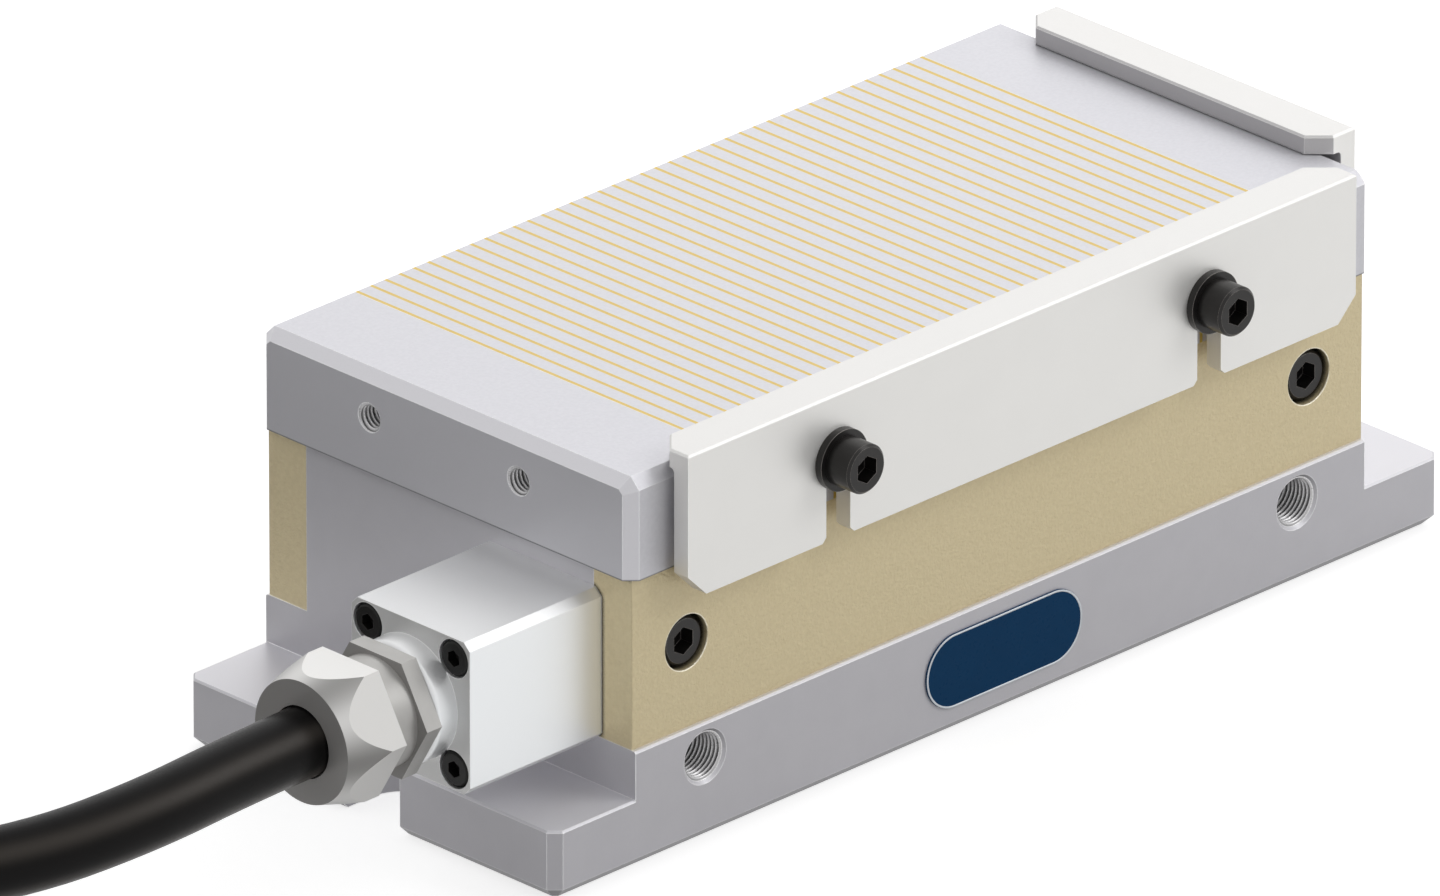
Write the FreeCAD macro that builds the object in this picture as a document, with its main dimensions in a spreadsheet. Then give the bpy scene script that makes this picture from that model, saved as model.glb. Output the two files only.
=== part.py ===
import FreeCAD, Part
import Sketcher
import math
import os
import re

os.makedirs("parts", exist_ok=True)
doc = FreeCAD.newDocument("magnetic_chuck")

# Driving sizes in millimetres. The origin is the centre of the base underside, +X runs
# away from the cable end and -Y faces the side with the long stop rail.
driving_sizes = {
    # Base body with its clamping flanges and the two end walls
    "flange_length": 21.5,
    "base_inset": 0.25,
    "flange_height": 14.5,
    "block_height": 24.5,
    "body_end_inset": 1.5,
    "body_side_inset": 1.25,
    "body_height": 60.0,
    "end_wall": 22.0,
    "base_corner": 2.2,
    "base_edge": 2.3,
    "base_bevel": 0.4,
    "slot_width": 16.4,
    "slot_depth": 17.0,
    "anchor_thread": 10.0,
    "anchor_rim": 11.3,
    "anchor_depth": 20.0,
    "anchor_offset": 80.0,
    "anchor_height": 17.4,
    # Brass side covers
    "cover_thickness": 10.1,
    "cover_screw_offset": 84.0,
    "cover_screw_height": 42.3,
    "cover_screw_length": 12.0,
    "cover_head_recess": 0.8,
    # Laminated pole plate
    "plate_length": 200.0,
    "plate_width": 100.0,
    "plate_thickness": 21.0,
    "plate_chamfer": 2.25,
    "strip_spacing": 3.8,
    "strip_width": 0.8,
    "strip_count": 41,
    "stop_hole_height": 11.6,
    "stop_hole_depth": 12.0,
    "plate_screw_x": 83.5,
    "plate_screw_y": 12.0,
    "plate_screw_length": 65.0,
    "plate_screw_recess": 0.6,
    # Stop rails
    "side_rail_length": 180.0,
    "side_rail_corner": 4.8,
    "side_screw_offset": 50.0,
    "end_rail_length": 80.0,
    "end_rail_corner": 4.0,
    "end_screw_offset": 20.0,
    "rail_gap": 1.5,
    "rail_leg": 3.8,
    "rail_head": 3.8,
    "rail_reach": 4.5,
    "rail_lift": 0.2,
    "rail_depth": 26.0,
    "rail_slot": 6.5,
    "rail_slot_mouth": 1.0,
    "rail_fillet": 1.0,
    "rail_bevel": 0.4,
    "clamp_screw_length": 16.0,
    # Screw families
    "m6_thread": 6.0,
    "m6_head": 10.0,
    "m6_head_height": 6.0,
    "m6_socket": 5.0,
    "m6_socket_depth": 3.2,
    "m6_counterbore": 11.4,
    "m6_through": 6.6,
    "m6_washer": 12.5,
    "m6_washer_bore": 6.4,
    "m6_washer_thickness": 1.6,
    "m4_thread": 4.0,
    "m4_head": 7.2,
    "m4_head_height": 4.0,
    "m4_socket": 3.0,
    "m4_socket_depth": 2.2,
    "m4_counterbore": 7.8,
    "m4_through": 4.5,
    "thread_clearance": 0.05,
    "thread_runout": 1.5,
    "head_bevel": 0.5,
    # Electro-permanent magnet system inside the body
    "pole_count": 4,
    "pole_length": 30.0,
    "pole_width": 74.0,
    "core_length": 20.0,
    "core_width": 56.0,
    "core_height": 18.0,
    "bobbin_wall": 1.0,
    "coil_length": 33.6,
    "coil_width": 69.6,
    "coil_corner": 5.0,
    "field_magnet_width": 34.0,
    "field_magnet_height": 14.0,
    "field_magnet_spacing": 38.0,
    "lead_wire": 1.6,
    "lead_spread": 1.3,
    "link_wire": 1.6,
    "link_spacing": 12.0,
    "wire_duct": 6.0,
    # Connection box
    "box_length": 35.0,
    "box_width": 31.6,
    "box_corner": 1.6,
    "box_y": -25.0,
    "box_z": 39.8,
    "box_front_wall": 7.0,
    "box_bore": 22.0,
    "box_boss": 25.0,
    "box_boss_length": 5.4,
    "box_boss_edge": 1.2,
    "box_screw_pattern": 23.0,
    "box_screw_length": 40.0,
    "seal_ring": 1.5,
    "seal_ring_diameter": 24.8,
    "seal_squeeze": 0.3,
    "terminal_length": 9.5,
    "terminal_play": 0.05,
    # Cable gland
    "gland_thread": 20.0,
    "gland_thread_length": 10.0,
    "gland_hex": 24.0,
    "gland_hex_length": 3.9,
    "gland_collar": 22.5,
    "gland_collar_length": 6.5,
    "gland_nose": 20.0,
    "gland_nose_length": 8.0,
    "gland_bore": 14.5,
    "seal_sleeve": 18.0,
    "seal_sleeve_length": 11.5,
    "nut_hex": 26.0,
    "nut_length": 13.0,
    "nut_face": 24.9,
    "nut_cone_length": 9.2,
    "nut_mouth": 14.6,
    "nut_lip": 3.0,
    # Cable
    "cable_diameter": 14.0,
    "cable_start": 3.0,
    "sheath_end": 6.0,
    "core_wire": 2.6,
    "core_circle": 7.0,
    "core_count": 5,
    # Coil of stored cable
    "coil_x": -251.5,
    "coil_y": 114.3,
    "ring_radius": 77.0,
    "ring_edge": 4.5,
    # Blank name plate
    "badge_length": 42.0,
    "badge_height": 15.3,
    "badge_thickness": 0.4,
    "badge_z": 13.3,
    # Connector on the far end of the cable
    "plug_hex": 24.0,
    "plug_nut_length": 16.0,
    "plug_cone_length": 9.0,
    "hood_length": 54.0,
    "hood_shoulder": 20.0,
    "hood_width": 52.0,
    "hood_neck": 28.0,
    "hood_thickness": 29.0,
    "collar_length": 12.0,
    "collar_width": 55.0,
    "collar_thickness": 34.0,
    "hood_wall": 3.0,
    "hood_edge": 2.0,
    "insert_length": 32.0,
    "contact_diameter": 4.0,
    "contact_bore": 2.6,
    "contact_pitch": 13.0,
    "contact_rows": 12.0,
    "contact_length": 26.0,
    "peg_diameter": 5.0,
    "peg_length": 3.0,
}

# Places and sizes that follow from the driving sizes
derived_sizes = {
    "base_width": "plate_width - 2 * base_inset",
    "body_length": "plate_length - 2 * body_end_inset",
    "body_width": "plate_width - 2 * body_side_inset",
    "base_length": "body_length + 2 * flange_length",
    "wall_face": "body_length / 2",
    "cavity_end": "body_length / 2 - end_wall",
    "cavity_length": "body_length - 2 * end_wall",
    "cover_inner": "body_width / 2 - cover_thickness",
    "cover_seat": "body_width / 2 - cover_head_recess - m6_head_height",
    "cover_thread_depth": "cover_screw_length - cover_seat + cover_inner + thread_runout",
    "plate_top": "body_height + plate_thickness",
    "lamella_width": "strip_spacing - strip_width",
    "stack_length": "(strip_count - 1) * strip_spacing + strip_width",
    "end_block_length": "(plate_length - stack_length) / 2",
    "stop_hole_z": "body_height + stop_hole_height",
    "rail_outer": "rail_gap + rail_leg",
    "rail_head_z": "plate_top + rail_lift",
    "rail_top": "rail_head_z + rail_head",
    "rail_bottom": "plate_top - rail_depth",
    "plate_screw_seat": "m6_head_height + plate_screw_recess",
    "plate_thread_depth": "plate_screw_seat + plate_screw_length - body_height + thread_runout",
    "pole_pitch": "cavity_length / pole_count",
    "first_pole": "(pole_count - 1) * pole_pitch / 2",
    "pole_gap": "pole_pitch - pole_length",
    "shoe_bottom": "block_height + core_height",
    "shoe_height": "body_height - shoe_bottom",
    "winding_bore_length": "core_length + 2 * bobbin_wall",
    "winding_bore_width": "core_width + 2 * bobbin_wall",
    "field_magnet_z": "shoe_bottom + (shoe_height - field_magnet_height) / 2",
    "box_front": "wall_face + box_length",
    "boss_face": "box_front + box_boss_length",
    "box_screw_seat": "box_front - m4_head_height",
    "box_thread_depth": "box_screw_length - box_screw_seat + wall_face + thread_runout",
    "hex_face": "boss_face + gland_hex_length",
    "collar_face": "hex_face + gland_collar_length",
    "nut_end": "collar_face + nut_length",
    "cable_face": "nut_end - cable_start",
    "seal_groove_depth": "seal_ring - seal_squeeze",
    "seal_face": "collar_face + gland_nose_length",
    "terminal_face": "wall_face + terminal_length",
    "sheath_face": "wall_face + terminal_length + sheath_end",
    "ring_inner": "ring_radius - cable_diameter",
    "ring_outer": "ring_radius + cable_diameter",
    "ring_height": "2 * cable_diameter",
    "hood_start": "plug_nut_length",
    "hood_face": "plug_nut_length + hood_length",
}

# Free cable between the gland and its coil, and between the coil and the connector
route = [
    (-159.3, -25.0, 39.8),
    (-179.3, -25.0, 39.6),
    (-202.2, -24.8, 38.2),
    (-226.5, -19.6, 35.8),
    (-249.7, -7.9, 34.6),
    (-271.5, 8.6, 28.8),
    (-293.1, 26.8, 16.8),
    (-313.2, 47.5, 8.6),
    (-326.2, 70.0, 7.0),
    (-332.2, 91.1, 7.0),
]
tail_route = [
    (-229.8, 195.4, 21.0),
    (-214.2, 191.5, 20.4),
    (-195.4, 186.2, 18.2),
    (-176.5, 181.6, 17.0),
    (-160.1, 177.3, 17.0),
]

sheet = doc.addObject("Spreadsheet::Sheet", "sizes")
for row, (alias, size) in enumerate(driving_sizes.items(), start=1):
    sheet.set(f"A{row}", alias.replace("_", " "))
    sheet.set(f"B{row}", str(size))
    sheet.setAlias(f"B{row}", alias)
doc.recompute()

directions = {
    "+X": FreeCAD.Vector(1, 0, 0),
    "-X": FreeCAD.Vector(-1, 0, 0),
    "+Y": FreeCAD.Vector(0, 1, 0),
    "-Y": FreeCAD.Vector(0, -1, 0),
    "+Z": FreeCAD.Vector(0, 0, 1),
    "-Z": FreeCAD.Vector(0, 0, -1),
}
pieces = []


def formula(text):
    """Write out the derived sizes in an expression and point its sizes at the sheet."""

    def expand(match):
        word = match.group(0)
        if word in derived_sizes:
            return f"({formula(derived_sizes[word])})"
        if word in driving_sizes:
            return f"sizes.{word}"
        return word

    return re.sub(r"[a-z][a-z0-9_]*", expand, text)


def number(text):
    """The present value of an expression."""
    return float(sheet.evalExpression(formula(text)))


def bind(item, **texts):
    """Bind properties of an object to expressions."""
    for name, text in texts.items():
        item.setExpression(name, formula(text))


def place(item, at, direction="+Z", turn=0):
    """Put an object's own Z axis along a direction, turned about it, with its origin at a point."""
    aim = FreeCAD.Rotation(FreeCAD.Vector(0, 0, 1), directions[direction])
    spin = FreeCAD.Rotation(FreeCAD.Vector(0, 0, 1), turn)
    item.Placement = FreeCAD.Placement(FreeCAD.Vector(), aim.multiply(spin))
    for axis, text in zip("xyz", at):
        item.setExpression(f"Placement.Base.{axis}", formula(text))
    return item


def along(at, direction, text):
    """The point that lies a distance along one of the six directions from another point."""
    moved = list(at)
    index = "XYZ".index(direction[1])
    moved[index] = f"{moved[index]} {direction[0]} ({text})"
    return tuple(moved)


def opposite(direction):
    """The direction that points the other way."""
    return {"+": "-", "-": "+"}[direction[0]] + direction[1]


def piece(item, label):
    """Name a finished sub-part and list it for export."""
    item.Label = label
    pieces.append(item)
    return item


# Primitives and booleans


def block(name, low, size):
    item = doc.addObject("Part::Box", name)
    bind(item, Length=size[0], Width=size[1], Height=size[2])
    return place(item, low)


def rod(name, at, direction, diameter, length):
    item = doc.addObject("Part::Cylinder", name)
    bind(item, Radius=f"({diameter}) / 2", Height=length)
    return place(item, at, direction)


def cone(name, at, direction, first_diameter, last_diameter, length):
    item = doc.addObject("Part::Cone", name)
    bind(item, Radius1=f"({first_diameter}) / 2", Radius2=f"({last_diameter}) / 2", Height=length)
    return place(item, at, direction)


def hexagon(name, at, direction, across_flats, length, turn=0):
    item = doc.addObject("Part::Prism", name)
    item.Polygon = 6
    bind(item, Circumradius=f"({across_flats}) / sqrt(3)", Height=length)
    return place(item, at, direction, turn)


def fuse(name, members):
    item = doc.addObject("Part::MultiFuse", name)
    item.Shapes = members
    return item


def cut(name, base, tools):
    item = doc.addObject("Part::Cut", name)
    item.Base = base
    item.Tool = tools[0] if len(tools) == 1 else fuse(name + "_tools", tools)
    return item


def common(name, base, tool):
    item = doc.addObject("Part::Common", name)
    item.Base = base
    item.Tool = tool
    return item


def group(name, members):
    item = doc.addObject("Part::Compound", name)
    item.Links = members
    return item


def tube(name, at, direction, outer, inner, length):
    shell = rod(name + "_outside", at, direction, outer, length)
    hole = rod(name + "_bore", at, direction, inner, length)
    return cut(name, shell, [hole])


def cap_screw(name, seat, direction, family, length, turn=0):
    """Socket head cap screw: its head stands on the seat towards the direction."""
    head = f"{family}_head"
    height = f"{family}_head_height"
    top = along(seat, direction, f"{height} - head_bevel")
    floor = along(seat, direction, f"{height} - {family}_socket_depth")
    solid = fuse(
        name + "_solid",
        [
            rod(name + "_head", seat, direction, head, f"{height} - head_bevel"),
            cone(name + "_rim", top, direction, head, f"{head} - 2 * head_bevel", "head_bevel"),
            rod(
                name + "_shank",
                seat,
                opposite(direction),
                f"{family}_thread - 2 * thread_clearance",
                length,
            ),
        ],
    )
    socket = hexagon(
        name + "_socket", floor, direction, f"{family}_socket", f"{family}_socket_depth", turn
    )
    return cut(name, solid, [socket])


# PartDesign bodies


def new_body(name):
    return doc.addObject("PartDesign::Body", name)


def origin_feature(body, role):
    return next(item for item in body.Origin.OriginFeatures if item.Role == role)


def sketch(body, name, role, at, polygons=(), circles=()):
    """Sketch on an origin plane, moved to a place along the plane's axis.

    A polygon is a list of points and a circle a centre with a diameter, all as expressions.
    On the XZ plane the sketch looks along -Y, so its offset has the other sign.
    """
    item = body.newObject("Sketcher::SketchObject", name)
    item.AttachmentSupport = [(origin_feature(body, role), "")]
    item.MapMode = "FlatFace"
    sign = "-1 * " if role == "XZ_Plane" else ""
    item.setExpression("AttachmentOffset.Base.z", formula(f"{sign}({at})"))

    def pin(geometry, position, point):
        for kind, text in zip(("DistanceX", "DistanceY"), point):
            index = item.addConstraint(
                Sketcher.Constraint(kind, -1, 1, geometry, position, number(text))
            )
            item.setExpression(f"Constraints[{index}]", formula(text))

    for points in polygons:
        corners = [FreeCAD.Vector(number(x), number(y), 0) for x, y in points]
        first = item.GeometryCount
        for start, end in zip(corners, corners[1:] + corners[:1]):
            item.addGeometry(Part.LineSegment(start, end), False)
        for step in range(len(corners)):
            following = first + (step + 1) % len(corners)
            item.addConstraint(Sketcher.Constraint("Coincident", first + step, 2, following, 1))
        for step, point in enumerate(points):
            pin(first + step, 1, point)
    for x, y, diameter in circles:
        centre = FreeCAD.Vector(number(x), number(y), 0)
        round_line = Part.Circle(centre, FreeCAD.Vector(0, 0, 1), number(diameter) / 2)
        geometry = item.addGeometry(round_line, False)
        pin(geometry, 3, (x, y))
        index = item.addConstraint(Sketcher.Constraint("Diameter", geometry, number(diameter)))
        item.setExpression(f"Constraints[{index}]", formula(diameter))
    return item


def pad(body, profile, length, reverse=False):
    item = body.newObject("PartDesign::Pad", profile.Name + "_pad")
    item.Profile = profile
    item.Reversed = reverse
    bind(item, Length=length)
    doc.recompute()
    return item


def pocket(body, profile, depth, reverse=False):
    """Pocket that has to take material away."""
    before = body.Shape.Volume
    item = body.newObject("PartDesign::Pocket", profile.Name + "_pocket")
    item.Profile = profile
    item.Reversed = reverse
    bind(item, Length=depth)
    doc.recompute()
    if body.Shape.Volume >= before:
        raise ValueError(f"{item.Name} takes no material away")
    return item


def dress(body, kind, size, test):
    """Chamfer or fillet the edges of a body that pass a test."""
    names = [f"Edge{i}" for i, edge in enumerate(body.Shape.Edges, start=1) if test(edge)]
    if not names:
        raise ValueError(f"{body.Name} has no edge for this {kind}")
    dressed = body.Tip
    item = body.newObject(f"PartDesign::{kind}", f"{body.Name}_{kind.lower()}")
    item.Base = (dressed, names)
    bind(item, **{"Size" if kind == "Chamfer" else "Radius": size})
    doc.recompute()
    return item


def repeat(body, features, count, spacing, role="X_Axis"):
    """Linear pattern of features along an origin axis of the body."""
    item = body.newObject("PartDesign::LinearPattern", body.Name + "_pattern")
    item.Originals = features
    item.Direction = (origin_feature(body, role), [""])
    item.Mode = "Spacing"
    bind(item, Occurrences=count, Offset=spacing)
    body.Tip = item
    doc.recompute()
    return item


def rectangle(low_x, low_y, high_x, high_y):
    return [(low_x, low_y), (high_x, low_y), (high_x, high_y), (low_x, high_y)]


def centred(width, height):
    return rectangle(f"-({width}) / 2", f"-({height}) / 2", f"({width}) / 2", f"({height}) / 2")


def chamfered(width, height, corner):
    """Rectangle about the origin with its four corners cut off."""
    x, y = f"({width}) / 2", f"({height}) / 2"
    cut_x, cut_y = f"({x} - {corner})", f"({y} - {corner})"
    return [
        (f"-{cut_x}", f"-{y}"),
        (cut_x, f"-{y}"),
        (x, f"-{cut_y}"),
        (x, cut_y),
        (cut_x, y),
        (f"-{cut_x}", y),
        (f"-{x}", cut_y),
        (f"-{x}", f"-{cut_y}"),
    ]


def shifted(points, x, y):
    return [(f"{px} + ({x})", f"{py} + ({y})") for px, py in points]


def runs_along(edge, axis):
    """True for a straight edge parallel to an axis."""
    if len(edge.Vertexes) != 2 or not isinstance(edge.Curve, Part.Line):
        return False
    return abs(abs(edge.Curve.Direction.dot(directions["+" + axis])) - 1) < 1e-6


def middle(edge):
    return edge.BoundBox.Center


def near(first, second):
    return abs(first - second) < 1e-4


# Base body


def make_base():
    body = new_body("base")
    outline = chamfered("base_length", "base_width", "base_corner")
    pad(body, sketch(body, "flanges", "XY_Plane", "0", [outline]), "flange_height")
    dress(body, "Chamfer", "base_edge", lambda edge: near(edge.BoundBox.ZMax, 0))
    core = centred("body_length", "base_width")
    block_outline = sketch(body, "bottom_block", "XY_Plane", "flange_height", [core])
    pad(body, block_outline, "block_height - flange_height")
    for side, name in (("-1", "near"), ("1", "far")):
        slot_centre = f"{side} * (base_length / 2 - slot_depth + slot_width / 2)"
        beyond = f"{side} * (base_length / 2 + slot_width)"
        straight = rectangle(slot_centre, "-slot_width / 2", beyond, "slot_width / 2")
        pocket(
            body,
            sketch(body, f"{name}_slot", "XY_Plane", "0", [straight]),
            "block_height",
            True,
        )
        pocket(
            body,
            sketch(
                body,
                f"{name}_slot_end",
                "XY_Plane",
                "0",
                circles=[(slot_centre, "0", "slot_width")],
            ),
            "block_height",
            True,
        )
    return body


def make_walls(body):
    walls = [
        rectangle("-wall_face", "-cover_inner", "-cavity_end", "cover_inner"),
        rectangle("cavity_end", "-cover_inner", "wall_face", "cover_inner"),
    ]
    pad(
        body,
        sketch(body, "end_walls", "XY_Plane", "block_height", walls),
        "body_height - block_height",
    )


def drill_base(body):
    plate_holes = [
        (x, y)
        for x in ("-plate_screw_x", "plate_screw_x")
        for y in ("-plate_screw_y", "plate_screw_y")
    ]
    pocket(
        body,
        sketch(
            body,
            "plate_screw_heads",
            "XY_Plane",
            "0",
            circles=[(x, y, "m6_counterbore") for x, y in plate_holes],
        ),
        "plate_screw_seat",
        True,
    )
    pocket(
        body,
        sketch(
            body,
            "plate_screw_holes",
            "XY_Plane",
            "0",
            circles=[(x, y, "m6_through") for x, y in plate_holes],
        ),
        "body_height",
        True,
    )
    anchors = [
        ("-anchor_offset", "anchor_height", "anchor_thread"),
        ("anchor_offset", "anchor_height", "anchor_thread"),
    ]
    pocket(
        body,
        sketch(body, "anchor_holes", "XZ_Plane", "-base_width / 2", circles=anchors),
        "anchor_depth",
    )
    for side, name in (("-1", "front"), ("1", "back")):
        covers = [
            ("-cover_screw_offset", "cover_screw_height", "m6_thread"),
            ("cover_screw_offset", "cover_screw_height", "m6_thread"),
        ]
        face = f"{side} * cover_inner"
        pocket(
            body,
            sketch(body, f"{name}_cover_threads", "XZ_Plane", face, circles=covers),
            "cover_thread_depth",
            side == "1",
        )
    half = "box_screw_pattern / 2"
    box_holes = [
        (f"box_y {a} {half}", f"box_z {b} {half}", "m4_thread") for a in "+-" for b in "+-"
    ]
    pocket(
        body,
        sketch(body, "box_threads", "YZ_Plane", "-wall_face", circles=box_holes),
        "box_thread_depth",
        True,
    )
    duct = [("box_y", "box_z", "wire_duct")]
    pocket(
        body, sketch(body, "duct", "YZ_Plane", "-wall_face", circles=duct), "end_wall", True
    )


def bevel_base(body):
    face = number("base_width / 2")
    rim = number("anchor_thread / 2")
    block_end = number("wall_face")

    def anchor_mouth(edge):
        return (
            isinstance(edge.Curve, Part.Circle)
            and near(edge.Curve.Radius, rim)
            and near(middle(edge).y, -face)
        )

    def flange_top(edge):
        return (
            near(edge.BoundBox.ZMin, number("flange_height"))
            and near(edge.BoundBox.ZLength, 0)
            and abs(middle(edge).x) > block_end + 1e-3
        )

    def block_top(edge):
        return (
            runs_along(edge, "X")
            and near(middle(edge).z, number("block_height"))
            and near(abs(middle(edge).y), face)
        )

    dress(body, "Chamfer", "(anchor_rim - anchor_thread) / 2", anchor_mouth)
    dress(body, "Chamfer", "base_bevel", flange_top)
    dress(body, "Chamfer", "base_bevel", block_top)


base = make_base()
make_walls(base)
drill_base(base)
bevel_base(base)
piece(base, "base_body")


# Side covers


def make_cover(name, side):
    body = new_body(name)
    outer = f"{side} * body_width / 2"
    outline = rectangle("-wall_face", "block_height", "wall_face", "body_height")
    pad(
        body,
        sketch(body, name + "_outline", "XZ_Plane", outer, [outline]),
        "cover_thickness",
        side == "-1",
    )
    for label, diameter, depth in (
        ("heads", "m6_counterbore", "body_width / 2 - cover_seat"),
        ("holes", "m6_through", "cover_thickness"),
    ):
        circles = [
            ("-cover_screw_offset", "cover_screw_height", diameter),
            ("cover_screw_offset", "cover_screw_height", diameter),
        ]
        pocket(
            body,
            sketch(body, f"{name}_{label}", "XZ_Plane", outer, circles=circles),
            depth,
            side == "1",
        )
    return piece(body, name)


make_cover("side_cover_front", "-1")
make_cover("side_cover_back", "1")
cover_screws = []
for side, direction in (("-1", "-Y"), ("1", "+Y")):
    for end in ("-1", "1"):
        cover_screws.append(
            cap_screw(
                f"cover_screw_{len(cover_screws) + 1}",
                (f"{end} * cover_screw_offset", f"{side} * cover_seat", "cover_screw_height"),
                direction,
                "m6",
                "cover_screw_length",
                90,
            )
        )
piece(group("cover_screws", cover_screws), "side_cover_screws")


# Pole plate: end blocks, steel lamellae and brass strips


def plate_section():
    y, low, high = "plate_width / 2", "body_height", "plate_top"
    shoulder, slope = "(plate_width / 2 - plate_chamfer)", "plate_top - plate_chamfer"
    return [
        (f"-{y}", low),
        (y, low),
        (y, slope),
        (shoulder, high),
        (f"-{shoulder}", high),
        (f"-{y}", slope),
    ]


def make_end_block(name, side):
    body = new_body(name)
    inner = f"{side} * stack_length / 2"
    outline = sketch(body, name + "_section", "YZ_Plane", inner, [plate_section()])
    pad(body, outline, "end_block_length", side == "-1")
    face = number(f"{side} * plate_length / 2")
    floor = number("body_height")

    def outer_edge(edge):
        at = middle(edge)
        return near(edge.BoundBox.XLength, 0) and near(at.x, face) and at.z > floor + 1e-3

    dress(body, "Chamfer", "plate_chamfer", outer_edge)
    stops = [
        ("-end_screw_offset", "stop_hole_z", "m6_thread"),
        ("end_screw_offset", "stop_hole_z", "m6_thread"),
    ]
    end_face = f"{side} * plate_length / 2"
    pocket(
        body,
        sketch(body, name + "_stop_holes", "YZ_Plane", end_face, circles=stops),
        "stop_hole_depth",
        side == "-1",
    )
    holes = [
        (f"{side} * plate_screw_x", y, "m6_thread") for y in ("-plate_screw_y", "plate_screw_y")
    ]
    pocket(
        body,
        sketch(body, name + "_screw_holes", "XY_Plane", "body_height", circles=holes),
        "plate_thread_depth",
        True,
    )
    return piece(body, name)


def make_lamination(name, first_x, thickness, count):
    body = new_body(name)
    outline = sketch(body, name + "_section", "YZ_Plane", first_x, [plate_section()])
    repeat(body, [pad(body, outline, thickness)], count, "strip_spacing")
    stops = [
        ("-side_screw_offset", "stop_hole_z", "m6_thread"),
        ("side_screw_offset", "stop_hole_z", "m6_thread"),
    ]
    pocket(
        body,
        sketch(body, name + "_stop_holes", "XZ_Plane", "-plate_width / 2", circles=stops),
        "stop_hole_depth",
    )
    return piece(body, name)


make_end_block("plate_block_cable_end", "-1")
make_end_block("plate_block_stop_end", "1")
make_lamination("brass_strips", "-stack_length / 2", "strip_width", "strip_count")
make_lamination(
    "steel_lamellae", "-stack_length / 2 + strip_width", "lamella_width", "strip_count - 1"
)
plate_screws = []
for x in ("-plate_screw_x", "plate_screw_x"):
    for y in ("-plate_screw_y", "plate_screw_y"):
        plate_screws.append(
            cap_screw(
                f"plate_screw_{len(plate_screws) + 1}",
                (x, y, "plate_screw_seat"),
                "-Z",
                "m6",
                "plate_screw_length",
            )
        )
piece(group("plate_screws", plate_screws), "pole_plate_screws")


# Stop rails, built beside a plate face at y = 0 and then turned to their side


def make_rail(name, length, screw_offset, corner):
    body = new_body(name)
    section = [
        ("-rail_outer", "rail_bottom"),
        ("-rail_gap", "rail_bottom"),
        ("-rail_gap", "rail_head_z"),
        ("rail_reach", "rail_head_z"),
        ("rail_reach", "rail_top"),
        ("-rail_outer", "rail_top"),
    ]
    start = f"-{length} / 2"
    pad(body, sketch(body, name + "_section", "YZ_Plane", start, [section]), length)
    end_x = number(length) / 2
    bottom, head_z = number("rail_bottom"), number("rail_head_z")
    gap, reach = number("-rail_gap"), number("rail_reach")
    dress(
        body,
        "Chamfer",
        corner,
        lambda edge: runs_along(edge, "Y")
        and near(abs(middle(edge).x), end_x)
        and near(middle(edge).z, bottom),
    )
    dress(
        body,
        "Chamfer",
        corner,
        lambda edge: runs_along(edge, "Z") and near(middle(edge).y, reach),
    )
    dress(
        body,
        "Fillet",
        "rail_fillet",
        lambda edge: runs_along(edge, "X")
        and near(middle(edge).y, gap)
        and near(middle(edge).z, head_z),
    )
    sides = (f"-{screw_offset}", screw_offset)
    slots = [
        [
            (f"{x} - rail_slot / 2 - rail_slot_mouth", "rail_bottom - rail_slot_mouth"),
            (f"{x} + rail_slot / 2 + rail_slot_mouth", "rail_bottom - rail_slot_mouth"),
            (f"{x} + rail_slot / 2 + rail_slot_mouth", "rail_bottom"),
            (f"{x} + rail_slot / 2", "rail_bottom + rail_slot_mouth"),
            (f"{x} + rail_slot / 2", "stop_hole_z"),
            (f"{x} - rail_slot / 2", "stop_hole_z"),
            (f"{x} - rail_slot / 2", "rail_bottom + rail_slot_mouth"),
            (f"{x} - rail_slot / 2 - rail_slot_mouth", "rail_bottom"),
        ]
        for x in sides
    ]
    pocket(
        body,
        sketch(body, name + "_slots", "XZ_Plane", "-rail_outer", slots),
        "rail_leg",
    )
    ends = [(x, "stop_hole_z", "rail_slot") for x in sides]
    pocket(
        body,
        sketch(body, name + "_slot_ends", "XZ_Plane", "-rail_outer", circles=ends),
        "rail_leg",
    )
    top = number("rail_top")
    dress(
        body,
        "Chamfer",
        "rail_bevel",
        lambda edge: near(edge.BoundBox.ZLength, 0) and near(middle(edge).z, top),
    )
    return body


side_rail = make_rail(
    "side_rail", "side_rail_length", "side_screw_offset", "side_rail_corner"
)
side_rail.setExpression("Placement.Base.y", formula("-plate_width / 2"))
piece(side_rail, "side_stop_rail")
end_rail = make_rail("end_rail", "end_rail_length", "end_screw_offset", "end_rail_corner")
end_rail.Placement = FreeCAD.Placement(
    FreeCAD.Vector(), FreeCAD.Rotation(FreeCAD.Vector(0, 0, 1), 90)
)
end_rail.setExpression("Placement.Base.x", formula("plate_length / 2"))
piece(end_rail, "end_stop_rail")


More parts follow.
